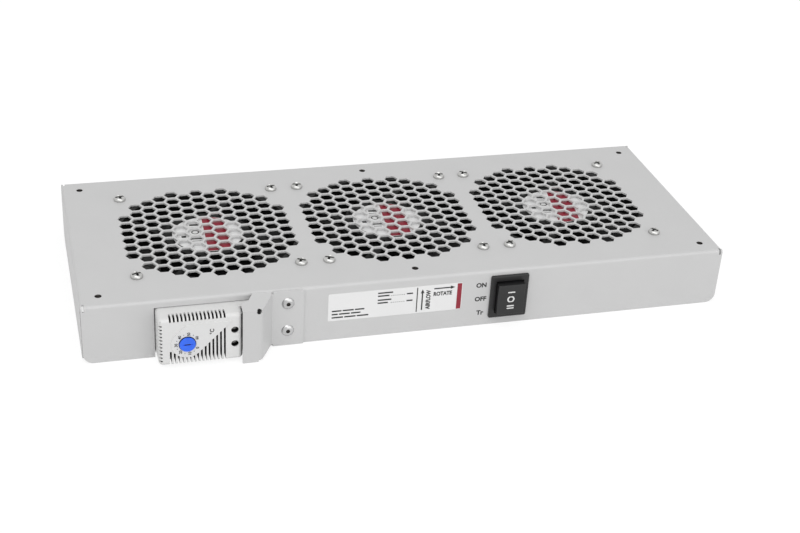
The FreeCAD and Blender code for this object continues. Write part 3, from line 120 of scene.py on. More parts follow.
class TraySizes(bpy.types.PropertyGroup):
    """Sizes of what the dressing adds to the solids."""
    sheet_edge: length("Sheet edge", "Rounding of cut sheet edges", 0.12 * MM)
    shell_edge: length("Shell edge", "Rounding of moulded edges", 0.22 * MM)
    switch_edge: length("Switch edge", "Rounding of the switch's edges", 0.35 * MM)
    ink: length("Ink", "Thickness of printed marks", 0.03 * MM)
    legend: length("Legend", "Height of the switch legends", 3.5 * MM)
    scale_ring: length("Scale ring", "Radius of the dial's figures", 7.0 * MM)
    scale_figure: length("Scale figures", "Height of the dial's figures", 1.95 * MM)
    scale_dot: length("Scale dots", "Radius of the dots between figures", 0.28 * MM)
    scale_start: FloatProperty(name="First figure", description="Angle of the dial's first figure",
                               default=math.radians(330.5), subtype="ANGLE")
    scale_step: FloatProperty(name="Figure step", description="Angle between the dial's figures",
                              default=math.radians(49.5), subtype="ANGLE")
    thread: length("Thread pitch", "Pitch of the fan screws' thread", 0.7 * MM)
    screw_turn: IntProperty(name="Screw turn seed", description="Seed of the screws' turned slots",
                            default=4, min=0)
    mount_in: length("Mount inset", "Fixing holes from the tray's sides", 12.0 * MM)
    mount_r: length("Mount hole", "Radius of the fixing holes", 2.2 * MM)
    mount_pitch: length("Mount thread", "Pitch of the fixing holes' thread", 0.8 * MM)
    mount_depth: length("Mount depth", "Depth of the fixing holes' thread", 2.7 * MM)
    band_left: length("Band start", "Left edge of the fan label's red band", -2.0 * MM)
    band_right: length("Band end", "Right edge of the fan label's red band", 13.3 * MM)


class TrayStudio(bpy.types.PropertyGroup):
    """Camera, lamps and floor."""
    eye: FloatVectorProperty(name="Eye", description="Camera's place", size=3, subtype="TRANSLATION",
                             default=(-0.2476, -0.8452, 0.4697))
    heading: FloatProperty(name="Heading", description="Turn of the view from +Y towards +X",
                           default=math.radians(17.047), subtype="ANGLE")
    dip: FloatProperty(name="Dip", description="Fall of the view below the horizon",
                       default=math.radians(30.008), subtype="ANGLE")
    roll: FloatProperty(name="Roll", description="Lean of the camera to its left",
                        default=math.radians(3.695), subtype="ANGLE")
    lens: FloatProperty(name="Lens", description="Focal length in millimetres on a 36 mm sensor",
                        default=65.415, min=10.0)
    world: FloatProperty(name="World light", description="Strength of the even light",
                         default=0.62, min=0.0)
    key: FloatProperty(name="Key light", description="Power of the soft key lamp in watts",
                       default=11.0, min=0.0)
    fill: FloatProperty(name="Fill light", description="Power of the soft front lamp in watts",
                        default=9.0, min=0.0)
    shadow: FloatProperty(name="Floor shadow", default=0.22, min=0.0, max=1.0,
                          description="Share of the floor's white that a shadow can take")
    # painted shade: where the floor's glow is taken away under the tray
    dark_in: length("Dark inset", "Edge of the floor's dark part, inside the tray's plan", 9.0 * MM)
    show_floor: BoolProperty(name="Floor", description="Make the floor", default=True)
    studio_name: StringProperty(name="Name", description="Prefix of the studio's objects", default="studio")


def colours():
    return bpy.context.scene.tray_colours


def sizes():
    return bpy.context.scene.tray_sizes


def studio():
    return bpy.context.scene.tray_studio


# ---------------------------------------------------------------- materials
def add_node(tree, kind, place=(0, 0), feeds=None, **values):
    """Node with its properties set and its inputs fed by sockets or set to plain values."""
    node = tree.nodes.new(kind)
    node.location = place
    for key, value in values.items():
        setattr(node, key, value)
    for key, value in (feeds or {}).items():
        if isinstance(value, bpy.types.NodeSocket):
            tree.links.new(value, node.inputs[key])
        else:
            node.inputs[key].default_value = value
    return node


def calculate(tree, operation, place, *feeds):
    """Result of a Math node."""
    return add_node(tree, "ShaderNodeMath", place, dict(enumerate(feeds)), operation=operation).outputs[0]


def moulded_or_painted(name, base, rough, grain, relief, mottle, metallic=0.0, gloss=0.5):
    """Finish with fine relief, slight colour mottle and uneven gloss, all on Object coordinates."""
    mat = bpy.data.materials.new(name)
    mat.use_nodes = True
    tree = mat.node_tree
    shader = tree.nodes["Principled BSDF"]
    shader.inputs["Metallic"].default_value = metallic
    shader.inputs["Specular IOR Level"].default_value = gloss
    where = add_node(tree, "ShaderNodeTexCoord", (-900, 0)).outputs["Object"]
    broad = add_node(tree, "ShaderNodeTexNoise", (-700, 200),
                     {"Vector": where, "Scale": 1.0 / (40.0 * grain), "Detail": 4.0})
    fine = add_node(tree, "ShaderNodeTexNoise", (-700, -150),
                    {"Vector": where, "Scale": 1.0 / grain, "Detail": 2.0}).outputs["Fac"]
    tint = add_node(tree, "ShaderNodeValToRGB", (-450, 250), {"Fac": broad.outputs["Fac"]})
    for element, position, share in zip(tint.color_ramp.elements, (0.3, 0.7), (1.0 - mottle, 1.0 + mottle)):
        element.position = position
        element.color = (*[min(1.0, channel * share) for channel in base], 1.0)
    uneven = add_node(tree, "ShaderNodeMapRange", (-450, -50),
                      {"Value": fine, "To Min": max(0.02, rough - ROUGH_SPAN),
                       "To Max": min(1.0, rough + ROUGH_SPAN)})
    bump = add_node(tree, "ShaderNodeBump", (-250, -250),
                    {"Height": fine, "Strength": 0.6, "Distance": relief})
    tree.links.new(tint.outputs["Color"], shader.inputs["Base Color"])
    tree.links.new(uneven.outputs["Result"], shader.inputs["Roughness"])
    tree.links.new(bump.outputs["Normal"], shader.inputs["Normal"])
    mat.diffuse_color = (*base, 1.0)
    return mat


def shade_inside(mat, box, wall, shade):
    """Paints shade on a finish inside a box that is shrunk by a wall's thickness, on Object coordinates."""
    low, high = box
    tree = mat.node_tree
    shader = tree.nodes["Principled BSDF"]
    tint = shader.inputs["Base Color"].links[0].from_socket
    coords = next(node for node in tree.nodes if node.bl_idname == "ShaderNodeTexCoord")
    split = add_node(tree, "ShaderNodeSeparateXYZ", (-700, 700), {0: coords.outputs["Object"]})
    depth = None
    for axis in range(3):
        y = 900 - 150 * axis
        shift = calculate(tree, "SUBTRACT", (-550, y), split.outputs[axis], (low[axis] + high[axis]) / 2.0)
        size = calculate(tree, "ABSOLUTE", (-400, y), shift)
        gap = calculate(tree, "SUBTRACT", (-250, y), size, (high[axis] - low[axis]) / 2.0)
        depth = gap if depth is None else calculate(tree, "MAXIMUM", (-100, y), depth, gap)
    ramp = add_node(tree, "ShaderNodeMapRange", (50, 700),
                    {"Value": depth, "From Min": -wall, "From Max": -0.7 * wall})
    mix = add_node(tree, "ShaderNodeMix", (200, 500),
                   {"Factor": ramp.outputs["Result"], "A": (*shade, 1.0), "B": tint}, data_type="RGBA")
    tree.links.new(mix.outputs["Result"], shader.inputs["Base Color"])


def make_finishes():
    """All finishes of the tray by name."""
    c = colours()
    dull = {"gloss": 0.2}
    metal = {"metallic": 1.0}
    # name, colour, roughness, grain and relief in millimetres, mottle, and what else differs
    rows = (
        ("powder_coat", c.paint, 0.46, 0.7, 0.012, 0.012, {}),
        ("fan_plastic", c.fan_black, 0.5, 0.45, 0.015, 0.25, dull),
        ("blade_plastic", c.blade_black, 0.45, 0.6, 0.01, 0.2, dull),
        ("shell_plastic", c.shell, 0.42, 0.35, 0.01, 0.012, {}),
        ("dial_plastic", c.dial, 0.35, 0.3, 0.006, 0.08, {}),
        ("rocker_plastic", c.switch, 0.36, 0.3, 0.012, 0.2, {}),
        ("bezel_plastic", c.bezel, 0.4, 0.3, 0.012, 0.2, {}),
        ("label_foil", c.foil, 0.32, 1.2, 0.006, 0.015, {}),
        ("red_print", c.red, 0.4, 0.5, 0.003, 0.08, {}),
        ("black_print", c.ink, 0.5, 0.3, 0.003, 0.3, {}),
        ("pale_print", c.switch_ink, 0.5, 0.3, 0.003, 0.05, {}),
        ("zinc_plate", c.zinc, 0.26, 0.5, 0.006, 0.08, metal),
        ("rivet_metal", c.rivet, 0.24, 0.5, 0.008, 0.06, metal),
        ("motor_steel", c.steel, 0.34, 0.6, 0.01, 0.1, metal),
        ("bearing_brass", c.brass, 0.3, 0.5, 0.006, 0.1, metal),
        ("dark_bronze", c.painted_shade_tone, 0.45, 0.4, 0.006, 0.2, metal),
        # painted shade: near-black metal finish for what is seen in slots, bores and holes
        ("tinned_brass", c.tin, 0.3, 0.5, 0.006, 0.08, metal),
        ("grommet_rubber", c.rubber, 0.72, 0.5, 0.02, 0.2, {}),
        ("block_plastic", c.block, 0.5, 0.5, 0.012, 0.12, {}),
    )
    for name, base, rough, grain, relief, mottle, more in rows:
        if name not in bpy.data.materials:
            moulded_or_painted(name, base, rough, grain * MM, relief * MM, mottle, **more)
    # painted shade: the thermostat shell darkens to the terminal block's black inside its walls
    shade_inside(bpy.data.materials["shell_plastic"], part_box("thermostat_housing"), 1.5 * MM, c.block)


def finish_named(name):
    return bpy.data.materials[name]


def dress(node, finish):
    """Gives a CAD node's own slots a finish."""
    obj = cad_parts[node]
    if not obj.material_slots:
        obj.data.materials.append(finish_named(finish))
    for slot in obj.material_slots:
        slot.material = finish_named(finish)


# ---------------------------------------------------------------- mesh tools
def new_piece(name, mesh, finish, body):
    """Object at the origin that rides on a body and takes its finish."""
    obj = bpy.data.objects.new(name, mesh)
    bpy.context.scene.collection.objects.link(obj)
    mesh.materials.clear()
    mesh.materials.append(finish_named(finish))
    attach(obj, body)
    return obj


def applied(obj):
    """Plain mesh of an object with its modifiers, which are then removed."""
    bpy.context.view_layer.update()
    graph = bpy.context.evaluated_depsgraph_get()
    mesh = bpy.data.meshes.new_from_object(obj.evaluated_get(graph), preserve_all_data_layers=True,
                                           depsgraph=graph)
    obj.modifiers.clear()
    return mesh


def smooth(mesh, degrees=35.0):
    for polygon in mesh.polygons:
        polygon.use_smooth = True
    mesh.set_sharp_from_angle(angle=math.radians(degrees))


def eased_copy(node, name, width, finish, body, steps=2):
    """Copy of a CAD node with eased edges, which then stands for the node."""
    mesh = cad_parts[node].data.copy()
    work = bmesh.new()
    work.from_mesh(mesh)
    bmesh.ops.remove_doubles(work, verts=work.verts, dist=1e-6)
    bmesh.ops.dissolve_limit(work, angle_limit=math.radians(0.5), verts=work.verts, edges=work.edges)
    work.to_mesh(mesh)
    work.free()
    mesh.materials.clear()
    smooth(mesh, 50.0)
    holder = bpy.data.objects.new(name + "_holder", mesh)
    bpy.context.scene.collection.objects.link(holder)
    bevel = holder.modifiers.new("eased", "BEVEL")
    bevel.width = width
    bevel.segments = steps
    bevel.limit_method = "ANGLE"
    bevel.angle_limit = math.radians(38)
    bevel.use_clamp_overlap = True
    weigh = holder.modifiers.new("weighed", "WEIGHTED_NORMAL")
    weigh.keep_sharp = True
    eased = applied(holder)
    bpy.data.objects.remove(holder)
    bpy.data.meshes.remove(mesh)
    eased.name = name
    obj = new_piece(name, eased, finish, body)
    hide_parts(node)
    return obj


def lathe(work, profile, centre, axis, steps=24, tube=False):
    """Adds a revolved solid to a bmesh; its profile of (radius, height) runs from pole to pole,
    or all the way round for a tube."""
    axis = axis.normalized()
    side = axis.orthogonal().normalized()
    other = axis.cross(side)
    rings = []
    for radius, height in profile:
        if radius < 1e-9:
            rings.append([work.verts.new(centre + axis * height)])
            continue
        ring = []
        for k in range(steps):
            angle = 2.0 * math.pi * k / steps
            out = side * math.cos(angle) + other * math.sin(angle)
            ring.append(work.verts.new(centre + out * radius + axis * height))
        rings.append(ring)
    if tube:
        rings.append(rings[0])
    for low, high in zip(rings, rings[1:]):
        for k in range(steps):
            corners = [low[k % len(low)], low[(k + 1) % len(low)],
                       high[(k + 1) % len(high)], high[k % len(high)]]
            unique = []
            for corner in corners:
                if corner not in unique:
                    unique.append(corner)
            if len(unique) > 2:
                work.faces.new(unique)


def prism(work, points, depth):
    """Adds a thin closed plate to a bmesh from a flat outline and a depth vector."""
    low = [work.verts.new(p) for p in points]
    high = [work.verts.new(p + depth) for p in points]
    work.faces.new(low)
    work.faces.new(list(reversed(high)))
    count = len(points)
    for k in range(count):
        work.faces.new([low[(k + 1) % count], low[k], high[k], high[(k + 1) % count]])


def finished_mesh(work, name):
    bmesh.ops.recalc_face_normals(work, faces=work.faces)
    mesh = bpy.data.meshes.new(name)
    work.to_mesh(mesh)
    work.free()
    return mesh


class Print:
    """Collects flat printed marks on one surface and makes one piece of them."""

    def __init__(self, origin, across, up):
        self.origin = Vector(origin)
        self.across = across
        self.up = up
        self.normal = across.cross(up)
        self.work = bmesh.new()

    def at(self, x, y):
        return self.origin + self.across * x + self.up * y

    def polygon(self, points):
        prism(self.work, [self.at(x, y) for x, y in points], self.normal * sizes().ink)

    def bar(self, x0, x1, y0, y1):
        self.polygon([(x0, y0), (x1, y0), (x1, y1), (x0, y1)])

    def ring(self, x, y, outer, inner, steps=32):
        """Flat ring made of four-sided plates."""
        for k in range(steps):
            a, b = (2.0 * math.pi * j / steps for j in (k, k + 1))
            self.polygon([(x + r * math.cos(t), y + r * math.sin(t))
                          for r, t in ((inner, a), (outer, a), (outer, b), (inner, b))])

    def arrow(self, start, end, width, head):
        """Straight arrow with a filled head."""
        tail = Vector(start)
        tip = Vector(end)
        along = (tip - tail).normalized()
        aside = Vector((-along.y, along.x))
        neck = tip - along * head
        half = aside * (width / 2.0)
        wing = aside * (head * 0.42)
        outline = [tail - half, neck - half, neck - wing, tip, neck + wing, neck + half, tail + half]
        self.polygon([(p.x, p.y) for p in outline])

    def text(self, words, height, x, y, bold=0.0, turned=False, reach=None):
        """Letters of a given height about a centre, read upwards if turned, fitted to a reach if given."""
        curve = bpy.data.curves.new("letters", "FONT")
        curve.body = words
        curve.size = 1.0
        curve.offset = bold
        curve.resolution_u = 4
        obj = bpy.data.objects.new("letters", curve)
        bpy.context.scene.collection.objects.link(obj)
        bpy.context.view_layer.update()
        graph = bpy.context.evaluated_depsgraph_get()
        mesh = bpy.data.meshes.new_from_object(obj.evaluated_get(graph))
        bpy.data.objects.remove(obj)
        xs = [v.co.x for v in mesh.vertices]
        ys = [v.co.y for v in mesh.vertices]
        tall = height / (max(ys) - min(ys))
        wide = reach / (max(xs) - min(xs)) if reach else tall
        glyph_middle = Vector(((max(xs) + min(xs)) / 2.0, (max(ys) + min(ys)) / 2.0, 0.0))
        across, up = (self.up, -self.across) if turned else (self.across, self.up)
        centre = self.at(x, y)
        base = {}
        lifted = {}
        for vertex in mesh.vertices:
            local = vertex.co - glyph_middle
            place = centre + across * (local.x * wide) + up * (local.y * tall)
            base[vertex.index] = self.work.verts.new(place)
            lifted[vertex.index] = self.work.verts.new(place + self.normal * sizes().ink)
        uses = {}
        for polygon in mesh.polygons:
            corners = list(polygon.vertices)
            self.work.faces.new([lifted[i] for i in corners])
            self.work.faces.new([base[i] for i in reversed(corners)])
            for a, b in zip(corners, corners[1:] + corners[:1]):
                uses.setdefault(frozenset((a, b)), []).append((a, b))
        for pairs in uses.values():
            if len(pairs) == 1:
                a, b = pairs[0]
                self.work.faces.new([base[a], base[b], lifted[b], lifted[a]])
        bpy.data.meshes.remove(mesh)

    def piece(self, name, finish, body, slot):
        bmesh.ops.remove_doubles(self.work, verts=self.work.verts, dist=1e-7)
        return new_piece(name, finished_mesh(self.work, name), finish, body)


# ---------------------------------------------------------------- geometry node trees
def tree_with_inputs(name, inputs):
    """Empty Geometry Nodes tree with named inputs; each input is (name, socket type, default)."""
    tree = bpy.data.node_groups.new(name, "GeometryNodeTree")
    tree.interface.new_socket("Geometry", in_out="OUTPUT", socket_type="NodeSocketGeometry")
    for label, kind, default in inputs:
        socket = tree.interface.new_socket(label, in_out="INPUT", socket_type=kind)
        if default is not None:
            socket.default_value = default
    source = add_node(tree, "NodeGroupInput", (-900, 0))
    target = add_node(tree, "NodeGroupOutput", (900, 0))
    return tree, source, target


def set_input(modifier, label, value):
    """Sets a modifier's input by the identifier of its socket."""
    for item in modifier.node_group.interface.items_tree:
        if item.item_type == "SOCKET" and item.in_out == "INPUT" and item.name == label:
            modifier[item.identifier] = value
            return
    raise ValueError("no input named " + label)


def grown(name, tree, values, finish, body):
    """Piece made by a Geometry Nodes tree, as a plain mesh."""
    holder = bpy.data.objects.new(name + "_holder", bpy.data.meshes.new(name + "_holder"))
    bpy.context.scene.collection.objects.link(holder)
    modifier = holder.modifiers.new("grow", "NODES")
    modifier.node_group = tree
    for label, value in values.items():
        set_input(modifier, label, value)
    mesh = applied(holder)
    mesh.name = name
    bpy.data.objects.remove(holder)
    return new_piece(name, mesh, finish, body)


def finish_tree(tree, geometry, source, target):
    """Ends a tree in Realize Instances and Set Material."""
    realize = add_node(tree, "GeometryNodeRealizeInstances", (500, 0), {"Geometry": geometry})
    paint = add_node(tree, "GeometryNodeSetMaterial", (700, 0),
                     {"Geometry": realize.outputs["Geometry"], "Material": source.outputs["Finish"]})
    tree.links.new(paint.outputs["Geometry"], target.inputs["Geometry"])
    return tree


def fastener_pattern_tree():
    """One fastener at each corner of a square, repeated along a row of fans."""
    tree, source, target = tree_with_inputs("fastener_pattern", (
        ("Fastener", "NodeSocketObject", None),
        ("Hole Pitch", "NodeSocketFloat", 0.1),
        ("Fan Pitch", "NodeSocketFloat", 0.12),
        ("Fans", "NodeSocketInt", 3),
        ("Seed", "NodeSocketInt", 0),
        ("Finish", "NodeSocketMaterial", None),
    ))
    given = source.outputs
    square = add_node(tree, "GeometryNodeMeshGrid", (-650, 200),
                      {"Vertices X": 2, "Vertices Y": 2,
                       "Size X": given["Hole Pitch"], "Size Y": given["Hole Pitch"]})
    spaces = calculate(tree, "SUBTRACT", (-850, -450), given["Fans"], 1.0)
    reach = calculate(tree, "MULTIPLY", (-700, -450), spaces, given["Fan Pitch"])
    back = calculate(tree, "MULTIPLY", (-550, -450), reach, -0.5)
    step = add_node(tree, "ShaderNodeCombineXYZ", (-850, -300), {"X": given["Fan Pitch"]})
    start = add_node(tree, "ShaderNodeCombineXYZ", (-400, -450), {"X": back})
    row = add_node(tree, "GeometryNodeMeshLine", (-650, -100),
                   {"Count": given["Fans"], "Offset": step.outputs["Vector"],
                    "Start Location": start.outputs["Vector"]}, mode="OFFSET")
    squares = add_node(tree, "GeometryNodeInstanceOnPoints", (-350, 100),
                       {"Points": row.outputs["Mesh"], "Instance": square.outputs["Mesh"]})
    points = add_node(tree, "GeometryNodeRealizeInstances", (-150, 100),
                      {"Geometry": squares.outputs["Instances"]})
    item = add_node(tree, "GeometryNodeObjectInfo", (-350, -200), {"Object": given["Fastener"]})
    turn = add_node(tree, "FunctionNodeRandomValue", (-150, -200),
                    {"Min": (0.0, 0.0, 0.0), "Max": (0.0, 0.0, math.pi / 2.0), "Seed": given["Seed"]},
                    data_type="FLOAT_VECTOR")
    place = add_node(tree, "GeometryNodeInstanceOnPoints", (150, 0),
                     {"Points": points.outputs["Geometry"], "Instance": item.outputs["Geometry"],
                      "Rotation": turn.outputs["Value"]})
    return finish_tree(tree, place.outputs["Instances"], source, target)


def scale_dots_tree():
    """Dots on an arc in the XZ plane about a centre, as between a dial's figures."""
    tree, source, target = tree_with_inputs("scale_dots", (
        ("Count", "NodeSocketInt", 6),
        ("Ring Radius", "NodeSocketFloat", 0.007),
        ("Dot Radius", "NodeSocketFloat", 0.0003),
        ("Thickness", "NodeSocketFloat", 0.00003),
        ("First Angle", "NodeSocketFloat", 0.0),
        ("Step Angle", "NodeSocketFloat", 0.5),
        ("Centre", "NodeSocketVector", (0.0, 0.0, 0.0)),
        ("Finish", "NodeSocketMaterial", None),
    ))
    given = source.outputs
    row = add_node(tree, "GeometryNodeMeshLine", (-650, 200), {"Count": given["Count"]})
    index = add_node(tree, "GeometryNodeInputIndex", (-900, -250))
    angle = calculate(tree, "MULTIPLY_ADD", (-700, -250), index.outputs["Index"],
                      given["Step Angle"], given["First Angle"])
    x, z = (calculate(tree, "MULTIPLY", (-350, y), calculate(tree, operation, (-500, y), angle),
                      given["Ring Radius"]) for operation, y in (("COSINE", -200), ("SINE", -350)))
    place = add_node(tree, "ShaderNodeCombineXYZ", (-200, -250), {"X": x, "Z": z})
    centred = add_node(tree, "ShaderNodeVectorMath", (-50, -250),
                       {0: place.outputs["Vector"], 1: given["Centre"]}, operation="ADD")
    points = add_node(tree, "GeometryNodeSetPosition", (0, 200),
                      {"Geometry": row.outputs["Mesh"], "Position": centred.outputs["Vector"]})
    dot = add_node(tree, "GeometryNodeMeshCylinder", (0, -50),
                   {"Vertices": 12, "Radius": given["Dot Radius"], "Depth": given["Thickness"]})
    dots = add_node(tree, "GeometryNodeInstanceOnPoints", (250, 0),
                    {"Points": points.outputs["Geometry"], "Instance": dot.outputs["Mesh"],
                     "Rotation": (math.pi / 2.0, 0.0, 0.0)})
    return finish_tree(tree, dots.outputs["Instances"], source, target)


# ---------------------------------------------------------------- places taken from the frame
def middle(node):
    low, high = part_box(node)
    return (low + high) / 2.0


def fan_pitch():
    return middle("fan_frame_right").x - middle("fan_frame_middle").x


def screw_pitch():
    """Distance between one fan's screws, from the span of the whole row's screws."""
    low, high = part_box("fan_screws")
    head = screw_head_radius()
    return high.y - low.y - 2.0 * head


def screw_head_radius():
    """Half the width of a screw head, from the mounted screws nearest the corner."""
    corner = [v.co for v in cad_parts["fan_screws"].data.vertices]
    right = max(p.x for p in corner)
    rim = [p for p in corner if p.x > right - 1e-5]
    axis_y = sum(abs(p.y) for p in rim) / len(rim)
    top = max(abs(p.y) for p in corner)
    return top - axis_y


# ---------------------------------------------------------------- operators
class FANTRAY_OT_finishes(bpy.types.Operator):
    """Make the finishes and dress the solids that keep their own mesh."""
    bl_idname = "fantray.finishes"
    bl_label = "Make finishes"

    def execute(self, context):
        make_finishes()
        plain = {
            "rail_plate": "powder_coat",
            "fan_nuts": "zinc_plate",
            "fan_terminals": "tinned_brass",
            "switch_terminals": "tinned_brass",
            "thermostat_base": "shell_plastic",
            "thermostat_switch_block": "block_plastic",
            "thermostat_terminal_screws": "zinc_plate",
            # painted shade: the sensing strip is near black so the shell's slots read as shade
            "bimetal_strip": "dark_bronze",
            "terminal_block": "block_plastic",
            "terminal_block_screws": "zinc_plate",
            "cable_grommet": "grommet_rubber",
            "front_label": "label_foil",
        }
        for side in FANS:
            plain["rotor_ring_" + side] = "motor_steel"
            plain["rotor_shaft_" + side] = "motor_steel"
            plain["stator_" + side] = "motor_steel"
            plain["bearings_" + side] = "bearing_brass"
            plain["fan_label_" + side] = "label_foil"
        for node, finish in plain.items():
            dress(node, finish)
        return {"FINISHED"}


class FANTRAY_OT_sheet_metal(bpy.types.Operator):
    """Ease the cut edges of the folded tray and of the thermostat's hood."""
    bl_idname = "fantray.sheet_metal"
    bl_label = "Sheet metal"

    def execute(self, context):
        edge = sizes().sheet_edge
        eased_copy("tray_panel", "tray_sheet", edge, "powder_coat", "tray")
        eased_copy("thermostat_hood", "hood_sheet", edge * 1.5, "powder_coat", "tray")
        return {"FINISHED"}


class FANTRAY_OT_fans(bpy.types.Operator):
    """Ease the moulded edges of the fan frames and the impellers."""
    bl_idname = "fantray.fans"
    bl_label = "Fans"

    def execute(self, context):
        edge = sizes().shell_edge
        for side in FANS:
            eased_copy("fan_frame_" + side, "frame_moulding_" + side, edge, "fan_plastic", "tray")
            eased_copy("impeller_" + side, "impeller_moulding_" + side, edge, "blade_plastic",
                       "impeller_body_" + side)
        return {"FINISHED"}


class FANTRAY_OT_fan_labels(bpy.types.Operator):
    """Print the red band and the small marks on each fan's round label."""
    bl_idname = "fantray.fan_labels"
    bl_label = "Fan labels"

    def execute(self, context):
        s = sizes()
        for side, lean in zip(FANS, (2.5, 5.5, 9.0)):
            low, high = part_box("fan_label_" + side)
            centre = Vector(((low.x + high.x) / 2.0, (low.y + high.y) / 2.0, high.z))
            radius = (high.x - low.x) / 2.0 - 0.3 * MM
            turn = Matrix.Rotation(math.radians(-lean), 3, "Z")
            across = turn @ Vector((1, 0, 0))
            up = turn @ Vector((0, 1, 0))
            band = Print(centre, across, up)
            ends = [math.acos(x / radius) for x in (s.band_right, s.band_left)]
            upper = [ends[0] + (ends[1] - ends[0]) * k / 16.0 for k in range(17)]
            outline = [(radius * math.cos(a), radius * math.sin(a)) for a in upper]
            outline += [(radius * math.cos(a), -radius * math.sin(a)) for a in reversed(upper)]
            band.polygon(outline)
            band.piece("fan_label_band_" + side, "red_print", "tray", "fan_label")
            marks = Print(centre, across, up)
            for x, y, wide, tall in ((-8.0, 13.0, 6.0, 2.2), (-8.0, 9.4, 7.0, 0.7), (-8.0, -6.0, 7.5, 1.6),
                                     (-8.0, -9.0, 6.0, 0.7), (-16.0, -2.5, 3.0, 2.6)):
                marks.bar((x - wide / 2) * MM, (x + wide / 2) * MM,
                          (y - tall / 2) * MM, (y + tall / 2) * MM)
            marks.ring(-8.0 * MM, 3.0 * MM, 2.6 * MM, 1.9 * MM)
            marks.piece("fan_label_marks_" + side, "black_print", "tray", "fan_label")
        return {"FINISHED"}


def screw_mesh(head_r, head_h, shank_r, tip, pitch):
    """Pan-head screw about the origin with a cross recess and a ringed thread, head upwards, and dark cross
    plates of painted shade to lie in the recess.
    """
    work = bmesh.new()
    dome = [(0.0, head_h)]
    for k in range(1, 7):
        t = k / 6.0
        dome.append((head_r * (0.55 + 0.45 * t) if k else 0.0, head_h * (1.0 - 0.62 * t ** 2.6)))
    dome.insert(1, (head_r * 0.3, head_h * 0.995))
    profile = dome + [(head_r, 0.12 * head_h), (head_r * 0.97, 0.0), (shank_r * 0.95, 0.0)]
    depth = -0.8 * MM
    while depth - pitch > tip + 0.3 * MM:
        profile += [(shank_r * 0.86, depth), (shank_r * 0.99, depth - pitch * 0.45)]
        depth -= pitch
    profile += [(shank_r * 0.86, tip + 0.3 * MM), (shank_r * 0.7, tip), (0.0, tip)]
    lathe(work, profile, Vector(), Vector((0, 0, 1)), 28)
    body = finished_mesh(work, "screw_body")
    cutter_work = bmesh.new()
    for turn in (0.0, math.pi / 2.0):
        across = Vector((math.cos(turn), math.sin(turn), 0.0))
        aside = Vector((-math.sin(turn), math.cos(turn), 0.0))
        long = head_r * 0.84
        half = head_r * 0.20
        top = head_h * 1.2
        low = head_h * 0.3
        outline = [across * -long + Vector((0, 0, top)), across * (-long * 0.55) + Vector((0, 0, low)),
                   across * (long * 0.55) + Vector((0, 0, low)), across * long + Vector((0, 0, top))]
        prism(cutter_work, [p - aside * half for p in outline], aside * (2.0 * half))
    cutter = finished_mesh(cutter_work, "screw_recess")
    # painted shade: dark cross plates set down in the recess to darken it
    recess_shade_work = bmesh.new()
    for wide, high in ((0.62, 0.195), (0.195, 0.62)):
        x, y, z = head_r * wide, head_r * high, head_h * 0.70
        prism(recess_shade_work, [Vector((-x, -y, z)), Vector((x, -y, z)), Vector((x, y, z)), Vector((-x, y, z))],
              Vector((0, 0, -head_h * 0.12)))
    return body, cutter, finished_mesh(recess_shade_work, "screw_shade")


class FANTRAY_OT_fan_screws(bpy.types.Operator):
    """Set a cross-recessed pan-head screw at each corner of each fan, with painted shade in each recess."""
    bl_idname = "fantray.fan_screws"
    bl_label = "Fan screws"

    def execute(self, context):
        s = sizes()
        low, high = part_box("fan_screws")
        head_r = screw_head_radius()
        body, cutter, shade = screw_mesh(head_r, high.z, head_r / 2.0, low.z, s.thread)
        screw = bpy.data.objects.new("screw_master", body)
        recess = bpy.data.objects.new("screw_recess", cutter)
        dark = bpy.data.objects.new("screw_shade", shade)
        for obj in (screw, recess, dark):
            context.scene.collection.objects.link(obj)
        cut = screw.modifiers.new("recess", "BOOLEAN")
        cut.operation = "DIFFERENCE"
        cut.solver = "EXACT"
        cut.object = recess
        cut.use_self = True
        screw.data = applied(screw)
        smooth(screw.data, 40.0)
        pattern = fastener_pattern_tree()
        # painted shade: the recess plates take black print
        for name, fastener, finish in (("fan_screw_set", screw, "zinc_plate"),
                                       ("fan_screw_recesses", dark, "black_print")):
            piece = grown(name, pattern,
                          {"Fastener": fastener, "Hole Pitch": screw_pitch(), "Fan Pitch": fan_pitch(),
                           "Fans": len(FANS), "Seed": s.screw_turn, "Finish": finish_named(finish)},
                          finish, "tray")
            if fastener is screw:
                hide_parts("fan_screws")
        for obj in (screw, recess, dark):
            bpy.data.objects.remove(obj)
        return {"FINISHED"}


class FANTRAY_OT_mount_threads(bpy.types.Operator):
    """Cut the threads of the tray's fixing holes as sleeves, near black with painted shade."""
    bl_idname = "fantray.mount_threads"
    bl_label = "Mount threads"

    def execute(self, context):
        s = sizes()
        low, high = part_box("tray_panel")
        work = bmesh.new()
        outer = s.mount_r - 0.01 * MM
        turns = int(s.mount_depth / s.mount_pitch)
        profile = [(outer, 0.0)]
        for k in range(turns):
            depth = -k * s.mount_pitch
            profile += [(s.mount_r - 0.12 * MM, depth - 0.1 * s.mount_pitch),
                        (s.mount_r - 0.4 * MM, depth - 0.5 * s.mount_pitch)]
        profile += [(s.mount_r - 0.12 * MM, -s.mount_depth + 0.05 * MM), (outer, -s.mount_depth)]
        for x in (low.x + s.mount_in, 0.0, high.x - s.mount_in):
            for y in (low.y + s.mount_in, high.y - s.mount_in):
                lathe(work, profile, Vector((x, y, high.z - 0.25 * MM)), Vector((0, 0, 1)), 24, tube=True)
        # painted shade: the thread sleeves are near black, for the shade in the fixing holes
        sleeves = new_piece("mount_threads", finished_mesh(work, "mount_threads"), "dark_bronze", "tray")
        smooth(sleeves.data, 30.0)
        return {"FINISHED"}


